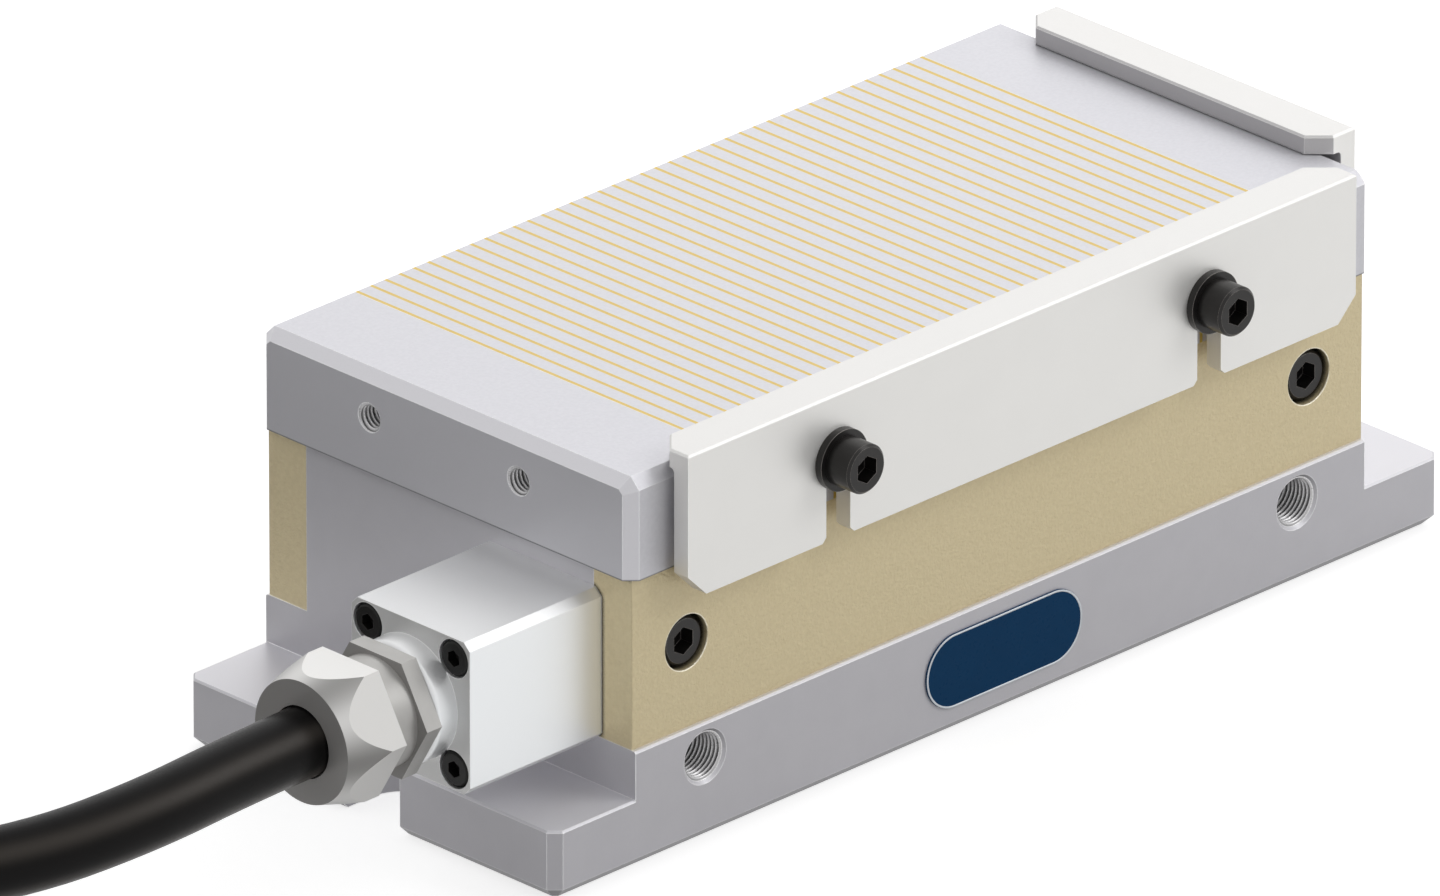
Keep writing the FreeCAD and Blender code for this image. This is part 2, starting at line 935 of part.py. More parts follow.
def make_clamps(stop, direction, screws):
    """Clamp screws, washers and spacers of one rail; screws maps a name to its plate hole."""
    washers, spacers = [], []
    for name, hole in screws.items():
        outside = along(hole, direction, "rail_outer")
        seat = along(outside, direction, "m6_washer_thickness")
        turn = 90 if direction[1] == "Y" else 0
        screw = cap_screw(
            f"{stop}_screw_{name}", seat, direction, "m6", "clamp_screw_length", turn
        )
        piece(screw, f"{stop}_clamp_screw_{name}")
        washers.append(
            tube(
                f"{stop}_washer_{name}",
                outside,
                direction,
                "m6_washer",
                "m6_washer_bore",
                "m6_washer_thickness",
            )
        )
        spacers.append(
            tube(
                f"{stop}_spacer_{name}",
                hole,
                direction,
                "m6_washer",
                "m6_washer_bore",
                "rail_gap",
            )
        )
    piece(group(f"{stop}_washers", washers), f"{stop}_stop_washers")
    piece(group(f"{stop}_spacers", spacers), f"{stop}_stop_spacers")


make_clamps(
    "side",
    "-Y",
    {
        "near": ("-side_screw_offset", "-plate_width / 2", "stop_hole_z"),
        "far": ("side_screw_offset", "-plate_width / 2", "stop_hole_z"),
    },
)
make_clamps(
    "end",
    "+X",
    {
        "front": ("plate_length / 2", "-end_screw_offset", "stop_hole_z"),
        "back": ("plate_length / 2", "end_screw_offset", "stop_hole_z"),
    },
)


# Magnet system: switchable cores with their coils, pole shoes and field magnets


def make_pole_row(name, layers):
    """One solid per pole: layers are (start height, height, outlines) at the first pole."""
    body = new_body(name)
    features = []
    for index, (low, height, outlines) in enumerate(layers, start=1):
        moved = [shifted(points, "-first_pole", "0") for points in outlines]
        profile = sketch(body, f"{name}_layer_{index}", "XY_Plane", low, moved)
        features.append(pad(body, profile, height))
    repeat(body, features, "pole_count", "pole_pitch")
    return piece(body, name)


core_outline = centred("core_length", "core_width")
winding_bore = centred("winding_bore_length", "winding_bore_width")
coil_outline = chamfered("coil_length", "coil_width", "coil_corner")
make_pole_row("alnico_cores", [("block_height", "core_height", [core_outline])])
make_pole_row(
    "coil_bobbins",
    [
        ("block_height", "bobbin_wall", [coil_outline, core_outline]),
        (
            "block_height + bobbin_wall",
            "core_height - 2 * bobbin_wall",
            [winding_bore, core_outline],
        ),
        ("shoe_bottom - bobbin_wall", "bobbin_wall", [coil_outline, core_outline]),
    ],
)
make_pole_row(
    "coil_windings",
    [
        (
            "block_height + bobbin_wall",
            "core_height - 2 * bobbin_wall",
            [coil_outline, winding_bore],
        )
    ],
)
make_pole_row(
    "pole_shoes", [("shoe_bottom", "shoe_height", [centred("pole_length", "pole_width")])]
)


def make_field_magnets():
    body = new_body("field_magnets")
    x = "(pole_pitch / 2 - first_pole)"
    outlines = [
        shifted(centred("pole_gap", "field_magnet_width"), x, f"{side} * field_magnet_spacing / 2")
        for side in ("-1", "1")
    ]
    profile = sketch(body, "field_magnet_outline", "XY_Plane", "field_magnet_z", outlines)
    repeat(body, [pad(body, profile, "field_magnet_height")], "pole_count - 1", "pole_pitch")
    return piece(body, "neodymium_magnets")


def make_coil_links():
    """Wires that join each winding to the next one."""
    body = new_body("coil_links_body")
    z = "block_height + core_height / 2"
    circles = [(f"{side} * link_spacing / 2", z, "link_wire") for side in ("-1", "1")]
    start = "coil_length / 2 - first_pole"
    profile = sketch(body, "coil_link_sections", "YZ_Plane", start, circles=circles)
    repeat(body, [pad(body, profile, "pole_pitch - coil_length")], "pole_count - 1", "pole_pitch")
    return piece(body, "coil_links")


make_field_magnets()
make_coil_links()
first_coil_face = "first_pole + coil_length / 2"
leads = []
for dy in "-+":
    for dz in "-+":
        leads.append(
            rod(
                f"lead_{len(leads) + 1}",
                ("-wall_face", f"box_y {dy} lead_spread", f"box_z {dz} lead_spread"),
                "+X",
                "lead_wire",
                f"wall_face - ({first_coil_face})",
            )
        )
piece(group("lead_wires", leads), "coil_leads")


def make_resin():
    """Potting that fills the cavity round everything in it."""
    cavity = block(
        "cavity",
        ("-cavity_end", "-cover_inner", "block_height"),
        ("cavity_length", "2 * cover_inner", "body_height - block_height"),
    )
    held = (
        "alnico_cores",
        "coil_bobbins",
        "coil_windings",
        "pole_shoes",
        "neodymium_magnets",
        "coil_links",
        "coil_leads",
    )
    tools = [item for item in pieces if item.Label in held]
    return piece(cut("potting", cavity, tools), "resin_fill")


make_resin()


# Connection box with its screws, seal and terminals


def make_box():
    body = new_body("box")
    outline = shifted(chamfered("box_width", "box_width", "box_corner"), "box_y", "box_z")
    pad(body, sketch(body, "box_outline", "YZ_Plane", "-box_front", [outline]), "box_length")
    boss = [("box_y", "box_z", "box_boss")]
    pad(
        body,
        sketch(body, "box_boss", "YZ_Plane", "-box_front", circles=boss),
        "box_boss_length",
        True,
    )
    boss_face = number("-boss_face")
    dress(
        body,
        "Fillet",
        "box_boss_edge",
        lambda edge: isinstance(edge.Curve, Part.Circle) and near(middle(edge).x, boss_face),
    )
    half = "box_screw_pattern / 2"
    corners = [(f"box_y {a} {half}", f"box_z {b} {half}") for a in "+-" for b in "+-"]
    rear, front = "-wall_face", "-box_front"
    holes = [
        ("bore", rear, [("box_y", "box_z", "box_bore")], "box_length - box_front_wall", False),
        (
            "gland_hole",
            "-boss_face",
            [("box_y", "box_z", "gland_thread")],
            "box_front_wall + box_boss_length",
            True,
        ),
        ("screw_holes", front, [(y, z, "m4_through") for y, z in corners], "box_length", True),
        (
            "screw_heads",
            front,
            [(y, z, "m4_counterbore") for y, z in corners],
            "box_front - box_screw_seat",
            True,
        ),
        (
            "seal_groove",
            rear,
            [
                ("box_y", "box_z", "seal_ring_diameter + 2 * seal_ring"),
                ("box_y", "box_z", "seal_ring_diameter"),
            ],
            "seal_groove_depth",
            False,
        ),
    ]
    for label, at, circles, depth, reverse in holes:
        profile = sketch(body, "box_" + label, "YZ_Plane", at, circles=circles)
        pocket(body, profile, depth, reverse)
    return piece(body, "connection_box")


make_box()

box_seats = [
    ("-box_screw_seat", f"box_y {a} box_screw_pattern / 2", f"box_z {b} box_screw_pattern / 2")
    for a in "+-"
    for b in "+-"
]
box_screws = [
    cap_screw(f"box_screw_{step}", seat, "-X", "m4", "box_screw_length")
    for step, seat in enumerate(box_seats, start=1)
]
piece(group("box_screw_group", box_screws), "box_screws")
seal = doc.addObject("Part::Torus", "box_seal")
bind(seal, Radius1="(seal_ring_diameter + seal_ring) / 2", Radius2="seal_groove_depth / 2")
place(seal, ("-wall_face - seal_groove_depth / 2", "box_y", "box_z"), "-X")
piece(seal, "box_seal_ring")
terminal = rod(
    "terminal_disc",
    ("-wall_face", "box_y", "box_z"),
    "-X",
    "box_bore - 2 * terminal_play",
    "terminal_length",
)
piece(terminal, "terminal_block")


# Cable gland: body, seal and dome nut on the axis of the box


def gland_point(distance):
    """The point on the gland's axis at a distance from the chuck's middle."""
    return (f"-({distance})", "box_y", "box_z")


def make_gland_body():
    play = "2 * thread_clearance"
    solid = fuse(
        "gland_body_solid",
        [
            rod(
                "gland_thread_rod",
                gland_point("boss_face"),
                "+X",
                f"gland_thread - {play}",
                "gland_thread_length",
            ),
            hexagon(
                "gland_hex_prism",
                gland_point("boss_face"),
                "-X",
                "gland_hex",
                "gland_hex_length",
                30,
            ),
            rod(
                "gland_collar_rod",
                gland_point("hex_face"),
                "-X",
                "gland_collar",
                "gland_collar_length",
            ),
            rod(
                "gland_nose_rod",
                gland_point("collar_face"),
                "-X",
                "gland_nose",
                "gland_nose_length",
            ),
        ],
    )
    bore = rod(
        "gland_bore_rod",
        gland_point("boss_face - gland_thread_length"),
        "-X",
        "gland_bore",
        "gland_thread_length + gland_hex_length + gland_collar_length + gland_nose_length",
    )
    seat = rod(
        "gland_seal_seat",
        gland_point("seal_face - seal_sleeve_length"),
        "-X",
        "seal_sleeve",
        "seal_sleeve_length",
    )
    return piece(cut("gland_core", solid, [bore, seat]), "gland_body")


def make_dome_nut():
    """Hexagon nut whose outer end is turned to a cone, which leaves scalloped flats."""
    corners = "nut_hex * 2 / sqrt(3)"
    turned = fuse(
        "nut_turned",
        [
            rod(
                "nut_round",
                gland_point("collar_face"),
                "-X",
                corners,
                "nut_length - nut_cone_length",
            ),
            cone(
                "nut_cone",
                gland_point("nut_end - nut_cone_length"),
                "-X",
                corners,
                "nut_face",
                "nut_cone_length",
            ),
        ],
    )
    flats = hexagon("nut_flats", gland_point("collar_face"), "-X", "nut_hex", "nut_length", 30)
    thread = rod(
        "nut_thread",
        gland_point("collar_face"),
        "-X",
        "gland_nose + 2 * thread_clearance",
        "nut_length - nut_lip",
    )
    mouth = rod("nut_mouth_hole", gland_point("collar_face"), "-X", "nut_mouth", "nut_length")
    form = common("nut_form", turned, flats)
    return piece(cut("dome_nut", form, [thread, mouth]), "gland_dome_nut")


make_gland_body()
make_dome_nut()
piece(
    tube(
        "seal_tube",
        gland_point("seal_face - seal_sleeve_length"),
        "-X",
        "seal_sleeve - 2 * thread_clearance",
        "cable_diameter + 2 * thread_clearance",
        "seal_sleeve_length + nut_end - nut_lip - seal_face",
    ),
    "gland_seal",
)


# Cable: the sheathed end inside the gland, its cores, the free runs and the coil

sheath = rod(
    "sheath_rod", gland_point("sheath_face"), "-X", "cable_diameter", "cable_face - sheath_face"
)
piece(sheath, "cable_sheath_end")
cores = []
for step in range(int(number("core_count"))):
    angle = f"(360 * {step} / core_count)"
    cores.append(
        rod(
            f"core_{step + 1}",
            (
                "-terminal_face",
                f"box_y + core_circle / 2 * cos({angle})",
                f"box_z + core_circle / 2 * sin({angle})",
            ),
            "-X",
            "core_wire",
            "sheath_end",
        )
    )
piece(group("core_group", cores), "cable_cores")


def cable_path(points):
    """Straight runs joined by tangent arcs, each as large as its two runs allow."""
    points = [FreeCAD.Vector(*point) for point in points]
    edges = []
    start = points[0]
    for before, corner, after in zip(points, points[1:], points[2:]):
        into = (before - corner).normalize()
        out = (after - corner).normalize()
        half_turn = (math.pi - into.getAngle(out)) / 2
        reach = 0.45 * min((before - corner).Length, (after - corner).Length)
        radius = reach / math.tan(half_turn)
        print(f"bend radius {radius:.1f}")
        first, last = corner + into * reach, corner + out * reach
        across = (into + out).normalize()
        inside = corner + across * (math.hypot(radius, reach) - radius)
        edges.append(Part.makeLine(start, first))
        edges.append(Part.Arc(first, inside, last).toShape())
        start = last
    edges.append(Part.makeLine(start, points[-1]))
    return Part.Wire(edges)


def make_cable(name, points):
    path = cable_path(points)
    radius = number("cable_diameter") / 2
    first = FreeCAD.Vector(*points[0])
    direction = FreeCAD.Vector(*points[1]) - first
    section = Part.Wire([Part.makeCircle(radius, first, direction)])
    item = doc.addObject("Part::Feature", name + "_tube")
    item.Shape = path.makePipeShell([section], True, False)
    expected = math.pi * radius**2 * path.Length
    print(f"{name}: length {path.Length:.1f}, volume {item.Shape.Volume:.0f} of {expected:.0f}")
    return piece(item, name)


def make_coil():
    body = new_body("coil_ring")
    section = shifted(
        chamfered("ring_outer - ring_inner", "ring_height", "ring_edge"),
        "ring_radius",
        "ring_height / 2",
    )
    profile = sketch(body, "coil_section", "XZ_Plane", "0", [section])
    item = body.newObject("PartDesign::Revolution", "coil_turn")
    item.Profile = profile
    item.ReferenceAxis = (profile, ["V_Axis"])
    item.Angle = 360
    place(body, ("coil_x", "coil_y", "0"))
    return piece(body, "cable_coil")


make_cable("cable_run", route)
make_coil()
make_cable("cable_tail", tail_route)


# Blank name plate on the front of the base

badge_face = "-base_width / 2"
badge_middle = "(badge_length - badge_height) / 2"
badge_parts = [
    block(
        "badge_middle_block",
        (f"-{badge_middle}", f"{badge_face} - badge_thickness", "badge_z - badge_height / 2"),
        ("badge_length - badge_height", "badge_thickness", "badge_height"),
    )
]
for sign, side in (("-", "left"), ("", "right")):
    at = (f"{sign}{badge_middle}", badge_face, "badge_z")
    badge_parts.append(rod(f"badge_{side}", at, "-Y", "badge_height", "badge_thickness"))
piece(fuse("badge", badge_parts), "name_plate")


# Connector, built along +X from the cable's end and then laid down there


def make_plug():
    corners = "plug_hex * 2 / sqrt(3)"
    start = ("0", "0", "0")
    nut_cone = cone("plug_cone", start, "+X", "plug_hex - 4", corners, "plug_cone_length")
    nut_round = rod(
        "plug_round",
        ("plug_cone_length", "0", "0"),
        "+X",
        corners,
        "plug_nut_length - plug_cone_length",
    )
    flats = hexagon("plug_flats", start, "+X", "plug_hex", "plug_nut_length", 30)
    turned = fuse("plug_turned", [nut_cone, nut_round])
    nut = piece(common("plug_nut", turned, flats), "plug_gland_nut")
    hood = new_body("hood")
    half, neck = "hood_width / 2", "hood_neck / 2"
    outline = [
        ("hood_start", f"-{neck}"),
        ("hood_start + hood_shoulder", f"-{half}"),
        ("hood_face", f"-{half}"),
        ("hood_face", half),
        ("hood_start + hood_shoulder", half),
        ("hood_start", neck),
    ]
    low = "-hood_thickness / 2"
    pad(hood, sketch(hood, "hood_outline", "XY_Plane", low, [outline]), "hood_thickness")
    dress(hood, "Fillet", "hood_edge", lambda edge: edge.Length > 1)
    collar = centred("collar_width", "collar_thickness")
    collar_start = "hood_face - collar_length"
    pad(
        hood,
        sketch(hood, "collar_outline", "YZ_Plane", collar_start, [collar]),
        "collar_length",
    )
    dress(
        hood,
        "Fillet",
        "hood_edge",
        lambda edge: runs_along(edge, "X") and edge.BoundBox.XMax > number("hood_face") - 1e-3,
    )
    cavity = centred("hood_width - 2 * hood_wall", "hood_thickness - 2 * hood_wall")
    pocket(
        hood,
        sketch(hood, "hood_cavity", "YZ_Plane", "hood_face", [cavity]),
        "insert_length",
    )
    pegs = [("hood_face - collar_length / 2", "0", "peg_diameter")]
    for side, sign in (("left", ""), ("right", "-")):
        profile = sketch(
            hood, f"peg_{side}", "XZ_Plane", f"{sign}collar_width / 2", circles=pegs
        )
        pad(hood, profile, "peg_length", side == "left")
    piece(hood, "plug_hood")
    insert = new_body("insert")
    filling = centred(
        "hood_width - 2 * hood_wall - 2 * terminal_play",
        "hood_thickness - 2 * hood_wall - 2 * terminal_play",
    )
    insert_start = "hood_face - insert_length"
    pad(
        insert,
        sketch(insert, "insert_outline", "YZ_Plane", insert_start, [filling]),
        "insert_length",
    )
    spots = [
        (f"{column} * contact_pitch", f"{row} * contact_rows / 2")
        for column in (-1, 0, 1)
        for row in (-1, 1)
    ]
    holes = [(y, z, "contact_diameter") for y, z in spots]
    pocket(
        insert,
        sketch(insert, "contact_holes", "YZ_Plane", "hood_face", circles=holes),
        "contact_length",
    )
    piece(insert, "plug_insert")
    contacts = [
        tube(
            f"contact_{step}",
            ("hood_face - contact_length", y, z),
            "+X",
            "contact_diameter",
            "contact_bore",
            "contact_length",
        )
        for step, (y, z) in enumerate(spots, start=1)
    ]
    piece(group("contact_group", contacts), "plug_contacts")
    last, end = (FreeCAD.Vector(*point) for point in tail_route[-2:])
    turn = FreeCAD.Rotation(FreeCAD.Vector(1, 0, 0), end - last)
    for item in (nut, hood, insert, pieces[-1]):
        item.Placement = FreeCAD.Placement(end, turn)


make_plug()


def faulty(item):
    """True where an object failed or a sub-part's shape can't be used."""
    return "Invalid" in item.State or "Error" in item.State


doc.recompute()
failed = [item.Name for item in doc.Objects if faulty(item)]
failed += [item.Label for item in pieces if item.Shape.isNull() or not item.Shape.isValid()]
if failed:
    raise ValueError(f"failed objects: {failed}")
for item in pieces:
    item.Shape.exportStep(os.path.join("parts", item.Label + ".step"))
    print(f"{item.Label}: {len(item.Shape.Solids)} solids, {item.Shape.Volume:.0f} mm3")
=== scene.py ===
import math

import bpy
import numpy as np
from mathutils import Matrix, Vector


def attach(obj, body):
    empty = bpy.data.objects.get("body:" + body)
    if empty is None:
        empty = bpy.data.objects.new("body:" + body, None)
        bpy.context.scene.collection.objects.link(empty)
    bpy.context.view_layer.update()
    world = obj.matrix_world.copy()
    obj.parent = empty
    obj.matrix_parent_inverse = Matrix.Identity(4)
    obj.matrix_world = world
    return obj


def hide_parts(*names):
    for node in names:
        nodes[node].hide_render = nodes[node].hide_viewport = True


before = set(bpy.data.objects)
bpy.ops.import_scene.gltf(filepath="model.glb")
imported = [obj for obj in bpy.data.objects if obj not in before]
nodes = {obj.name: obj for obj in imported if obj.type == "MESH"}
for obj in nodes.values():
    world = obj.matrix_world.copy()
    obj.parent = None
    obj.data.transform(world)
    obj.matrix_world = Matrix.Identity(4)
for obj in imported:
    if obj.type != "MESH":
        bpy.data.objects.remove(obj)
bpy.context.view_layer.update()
millimetre = 0.001
print("stage: frame loaded,", len(nodes), "nodes")

# Camera: a long lens, far away, which gives the photograph's nearly parallel view
photoView = {
    "target": (-14.45, 11.85, 39.75),
    "azimuth": 225.0,
    "elevation": 25.0,
    "viewWidth": 274.3,
    "lens": 1000.0,
    "sensor": 36.0,
    "clip": (0.5, 40.0),
}


def placeCamera(look):
    # the distance at which the view width fills the sensor, along the azimuth and elevation from the target
    turn, lift = math.radians(look["azimuth"]), math.radians(look["elevation"])
    away = Vector((math.cos(lift) * math.cos(turn), math.cos(lift) * math.sin(turn), math.sin(lift)))
    distance = look["viewWidth"] * millimetre * look["lens"] / look["sensor"]
    data = bpy.data.cameras.new("photoCamera")
    data.lens = look["lens"]
    data.sensor_width = look["sensor"]
    data.clip_start, data.clip_end = look["clip"]
    camera = bpy.data.objects.new("photoCamera", data)
    bpy.context.scene.collection.objects.link(camera)
    camera.location = Vector(look["target"]) * millimetre + away * distance
    camera.rotation_euler = (-away).to_track_quat("-Z", "Y").to_euler()
    bpy.context.scene.camera = camera


placeCamera(photoView)
print("stage: camera")

# Finishes: each dictionary is one finish, in linear colour, with its lengths in millimetres
# patch and grain: sizes of the colour's and the surface's noise; grainHeight: depth of the bump
# facing: tones of faces that look along an axis, which paint light and shade; slant: a painted highlight
# on faces at a slant to it; bands: a painted reflection round a cone; edge: reach of the rounded edges,
# with a painted highlight tone and metal on them; cavity: reach and painted shade in narrow gaps; seam: a
# dark line
# groundSteel: darker than plateSteel, which paints shade on the body's sides; its facing tones paint light on
# the tops and shade on the undersides, and its edge tone is a painted highlight
groundSteel = {
    "colour": (0.665, 0.655, 0.69),
    "darker": (0.65, 0.64, 0.675),
    "patch": 6.0,
    "metallic": 0.2,
    "gloss": 0.35,
    "roughness": 0.42,
    "spread": 0.06,
    "grain": 0.4,
    "grainHeight": 0.018,
    "edge": 0.2,
    "edgeHighlightColour": (1.0, 0.995, 1.0),
    "edgeMetal": 1.0,
    "facingLightAndShade": {"Z": (0.86, 0.85, 0.89), "-Z": (0.16, 0.155, 0.165)},
}
plateSteel = dict(
    groundSteel,
    colour=(0.73, 0.725, 0.765),
    darker=(0.70, 0.695, 0.735),
    patch=0.8,
    grain=0.5,
    grainHeight=0.03,
    metallic=0.3,
    edge=0.0,
    facingLightAndShade={},
)
# blockSteel: its slant tone paints light on the chamfers at the plate's ends, and its -X tone paints shade on
# the end faces; the edge tone is a painted highlight
blockSteel = dict(
    plateSteel,
    edge=0.2,
    slantHighlight={"axis": "X", "colour": (0.92, 0.91, 0.95)},
    facingLightAndShade={"-X": (0.64, 0.635, 0.67)},
    seam={"height": 60.0, "width": 0.35, "colour": (0.08, 0.08, 0.09)},
)
# cutThread: white on the thread crests and near black in the roots, by the crest attribute: a painted
# highlight on the crests and painted shade in the roots
cutThread = dict(
    groundSteel,
    colour=(1.0, 0.99, 1.0),
    darker=(0.03, 0.03, 0.033),
    byAttribute="crest",
    metallic=0.3,
    roughness=0.30,
    edge=0.0,
    facingLightAndShade={},
)
stripBrass = {
    "colour": (0.74, 0.54, 0.125),
    "darker": (0.71, 0.51, 0.11),
    "patch": 2.0,
    "metallic": 0.3,
    "gloss": 0.5,
    "roughness": 0.38,
    "spread": 0.08,
    "grain": 0.3,
    "grainHeight": 0.005,
    "stretch": (1.0, 0.3, 1.0),
}
coverBrass = {
    "colour": (0.785, 0.67, 0.422),
    "darker": (0.745, 0.63, 0.39),
    "patch": 0.9,
    "metallic": 0.30,
    "gloss": 0.5,
    "roughness": 0.44,
    "spread": 0.05,
    "grain": 0.55,
    "grainHeight": 0.22,
    # coverBrass: the edge tone is a painted highlight on edges that lean up; the cavity tone is painted shade
    # on the counterbore walls
    "edge": 0.5,
    "edgeAxis": "Z",
    "edgeHighlightColour": (1.0, 0.96, 0.82),
    "edgeMetal": 0.9,
    "cavity": 1.0,
    "cavityColour": (0.02, 0.017, 0.013),
}
satinRail = {
    "colour": (0.92, 0.91, 0.885),
    "darker": (0.91, 0.90, 0.875),
    "patch": 10.0,
    "metallic": 0.45,
    "gloss": 0.5,
    "roughness": 0.45,
    "spread": 0.05,
    "grain": 0.4,
    "grainHeight": 0.008,
    # satinRail: the Z tone paints shade on the tops, darker than the sides; the edge tone is a painted
    # highlight
    "facingLightAndShade": {"Z": (0.80, 0.79, 0.775)},
    "edge": 0.25,
    "edgeHighlightColour": (0.98, 0.975, 0.96),
    "edgeMetal": 0.8,
}
# endRail: a shaded copy of satinRail: the -X tone paints shade on the inner face, and the black cavity tone
# is a painted shadow along the rail's foot
endRail = dict(
    satinRail,
    facingLightAndShade={"Z": (0.80, 0.79, 0.775), "-X": (0.47, 0.46, 0.47)},
    cavity=0.6,
    cavityColour=(0.0, 0.0, 0.0),
)
blackOxide = {
    "colour": (0.021, 0.0195, 0.0185),
    "darker": (0.019, 0.0175, 0.0165),
    "patch": 1.5,
    "metallic": 0.4,
    "gloss": 0.4,
    "roughness": 0.32,
    "spread": 0.03,
    "grain": 0.25,
    "grainHeight": 0.004,
    # the edge tone is a painted highlight on the heads' rims
    "edge": 0.12,
    "edgeHighlightColour": (0.26, 0.24, 0.225),
    "edgeMetal": 0.9,
}
boxScrew = dict(
    blackOxide,
    colour=(0.010, 0.0095, 0.009),
    darker=(0.008, 0.0075, 0.007),
    metallic=0.0,
    gloss=0.2,
    # the edge tone is a painted highlight here too
    edgeHighlightColour=(0.05, 0.048, 0.045),
)
blastedBox = {
    "colour": (0.60, 0.60, 0.595),
    "darker": (0.58, 0.58, 0.575),
    "patch": 8.0,
    "metallic": 0.6,
    "gloss": 0.8,
    "roughness": 0.48,
    "spread": 0.05,
    "grain": 0.3,
    "grainHeight": 0.004,
    # the edge tone is a painted highlight; the Y tone paints light on the box's sides and the Z tone paints
    # shade on its top
    "edge": 0.25,
    "edgeHighlightColour": (0.96, 0.96, 0.96),
    "edgeMetal": 0.4,
    "facingLightAndShade": {"Y": (0.965, 0.985, 1.0), "Z": (0.88, 0.885, 0.89)},
}
nutNickel = {
    "colour": (0.64, 0.63, 0.61),
    "darker": (0.63, 0.62, 0.60),
    "patch": 5.0,
    "metallic": 0.20,
    "gloss": 0.4,
    "roughness": 0.44,
    "spread": 0.02,
    "grain": 0.3,
    "grainHeight": 0.001,
    # the X tone paints shade on the nut's ring face and the Z tone paints light on its top flat; the bands
    # paint a reflection round the cone, light bands over a dark cone tone that is painted shade
    "facingLightAndShade": {"X": (0.36, 0.35, 0.34), "Z": (1.0, 0.99, 0.97)},
    "reflectionBands": {
        "centre": (0.0, -25.0, 39.8),
        "count": 5,
        "start": 31.0,
        "dark": (0.24, 0.235, 0.228),
        "colour": (1.0, 0.99, 0.97),
    },
}
glandNickel = dict(
    nutNickel,
    colour=(0.62, 0.61, 0.59),
    darker=(0.58, 0.57, 0.55),
    # the X tone paints shade on faces that look along the gland's axis
    facingLightAndShade={"X": (0.37, 0.36, 0.35)},
    reflectionBands=None,
)
plainNickel = dict(glandNickel, colour=(0.80, 0.785, 0.76), darker=(0.77, 0.755, 0.73), facingLightAndShade={})
cableJacket = {
    "colour": (0.0070, 0.0062, 0.0062),
    "darker": (0.0055, 0.0050, 0.0050),
    "patch": 6.0,
    "metallic": 0.0,
    "gloss": 0.10,
    "roughness": 0.36,
    # the slant tone is a painted sheen, a band lighter where the cable's side leans up
    "slantHighlight": {"axis": "Z", "power": 1.5, "sharpness": 4.0, "colour": (0.060, 0.053, 0.047)},
    "spread": 0.06,
    "grain": 0.5,
    "grainHeight": 0.01,
}
sealRubber = dict(
    cableJacket,
    colour=(0.020, 0.020, 0.021),
    darker=(0.017, 0.017, 0.018),
    roughness=0.6,
    grainHeight=0.004,
    slantHighlight=None,
)
badgeEnamel = {
    "colour": (0.003, 0.056, 0.155),
    "darker": (0.003, 0.053, 0.148),
    "patch": 10.0,
    "metallic": 0.0,
    "gloss": 0.05,
    "roughness": 0.30,
    "spread": 0.04,
    "grain": 0.8,
    "grainHeight": 0.004,
}
badgeSilver = dict(plainNickel, colour=(0.72, 0.76, 0.80), darker=(0.66, 0.70, 0.74), metallic=0.4)
castMagnet = {
    "colour": (0.28, 0.275, 0.27),
    "darker": (0.20, 0.195, 0.19),
    "patch": 3.0,
    "metallic": 0.85,
    "gloss": 0.5,
    "roughness": 0.55,
    "spread": 0.12,
    "grain": 0.8,
    "grainHeight": 0.06,
}
platedMagnet = dict(plainNickel, colour=(0.66, 0.65, 0.63), darker=(0.60, 0.59, 0.57), roughness=0.25)
copperWinding = {
    "colour": (0.72, 0.27, 0.11),
    "darker": (0.50, 0.16, 0.06),
    "patch": 1.2,
    "metallic": 0.85,
    "gloss": 0.5,
    "roughness": 0.30,
    "spread": 0.10,
    "grain": 0.6,
    "grainHeight": 0.12,
    "stretch": (0.06, 0.06, 1.0),
}
wirePlastic = {
    "colour": (0.35, 0.045, 0.03),
    "darker": (0.30, 0.035, 0.025),
    "patch": 4.0,
    "metallic": 0.0,
    "gloss": 0.3,
    "roughness": 0.40,
    "spread": 0.05,
    "grain": 0.6,
    "grainHeight": 0.006,
}
bobbinPlastic = dict(wirePlastic, colour=(0.60, 0.56, 0.46), darker=(0.55, 0.51, 0.42), roughness=0.5)
pottingResin = dict(wirePlastic, colour=(0.022, 0.020, 0.019), darker=(0.014, 0.013, 0.012), patch=12.0)
terminalPlastic = dict(wirePlastic, colour=(0.42, 0.44, 0.44), darker=(0.37, 0.39, 0.39), roughness=0.5)
insertPlastic = dict(wirePlastic, colour=(0.035, 0.036, 0.038), darker=(0.028, 0.029, 0.03), roughness=0.5)
castHood = {
    "colour": (0.50, 0.51, 0.52),
    "darker": (0.48, 0.49, 0.50),
    "patch": 6.0,
    # the edge tone is a painted highlight
    "edge": 0.6,
    "edgeHighlightColour": (0.72, 0.73, 0.74),
    "edgeMetal": 0.6,
    "metallic": 0.40,
    "gloss": 0.5,
    "roughness": 0.48,
    "spread": 0.08,
    "grain": 0.9,
    "grainHeight": 0.05,
}
silverContact = dict(plainNickel, colour=(0.88, 0.86, 0.80), darker=(0.80, 0.78, 0.72), roughness=0.22)


# What all finishes share: ranges of noise and masks that are spread from 0 to 1, and samples of each mask
shading = {
    "patchDetail": 4.0,
    "patchRange": (0.35, 0.65),
    "grainDetail": 3.0,
    "grainRange": (0.3, 0.7),
    "samples": 6,
    "openRange": (0.92, 0.60),
    "edgeRange": (0.995, 0.90),
    "edgeLean": 4.0,
}


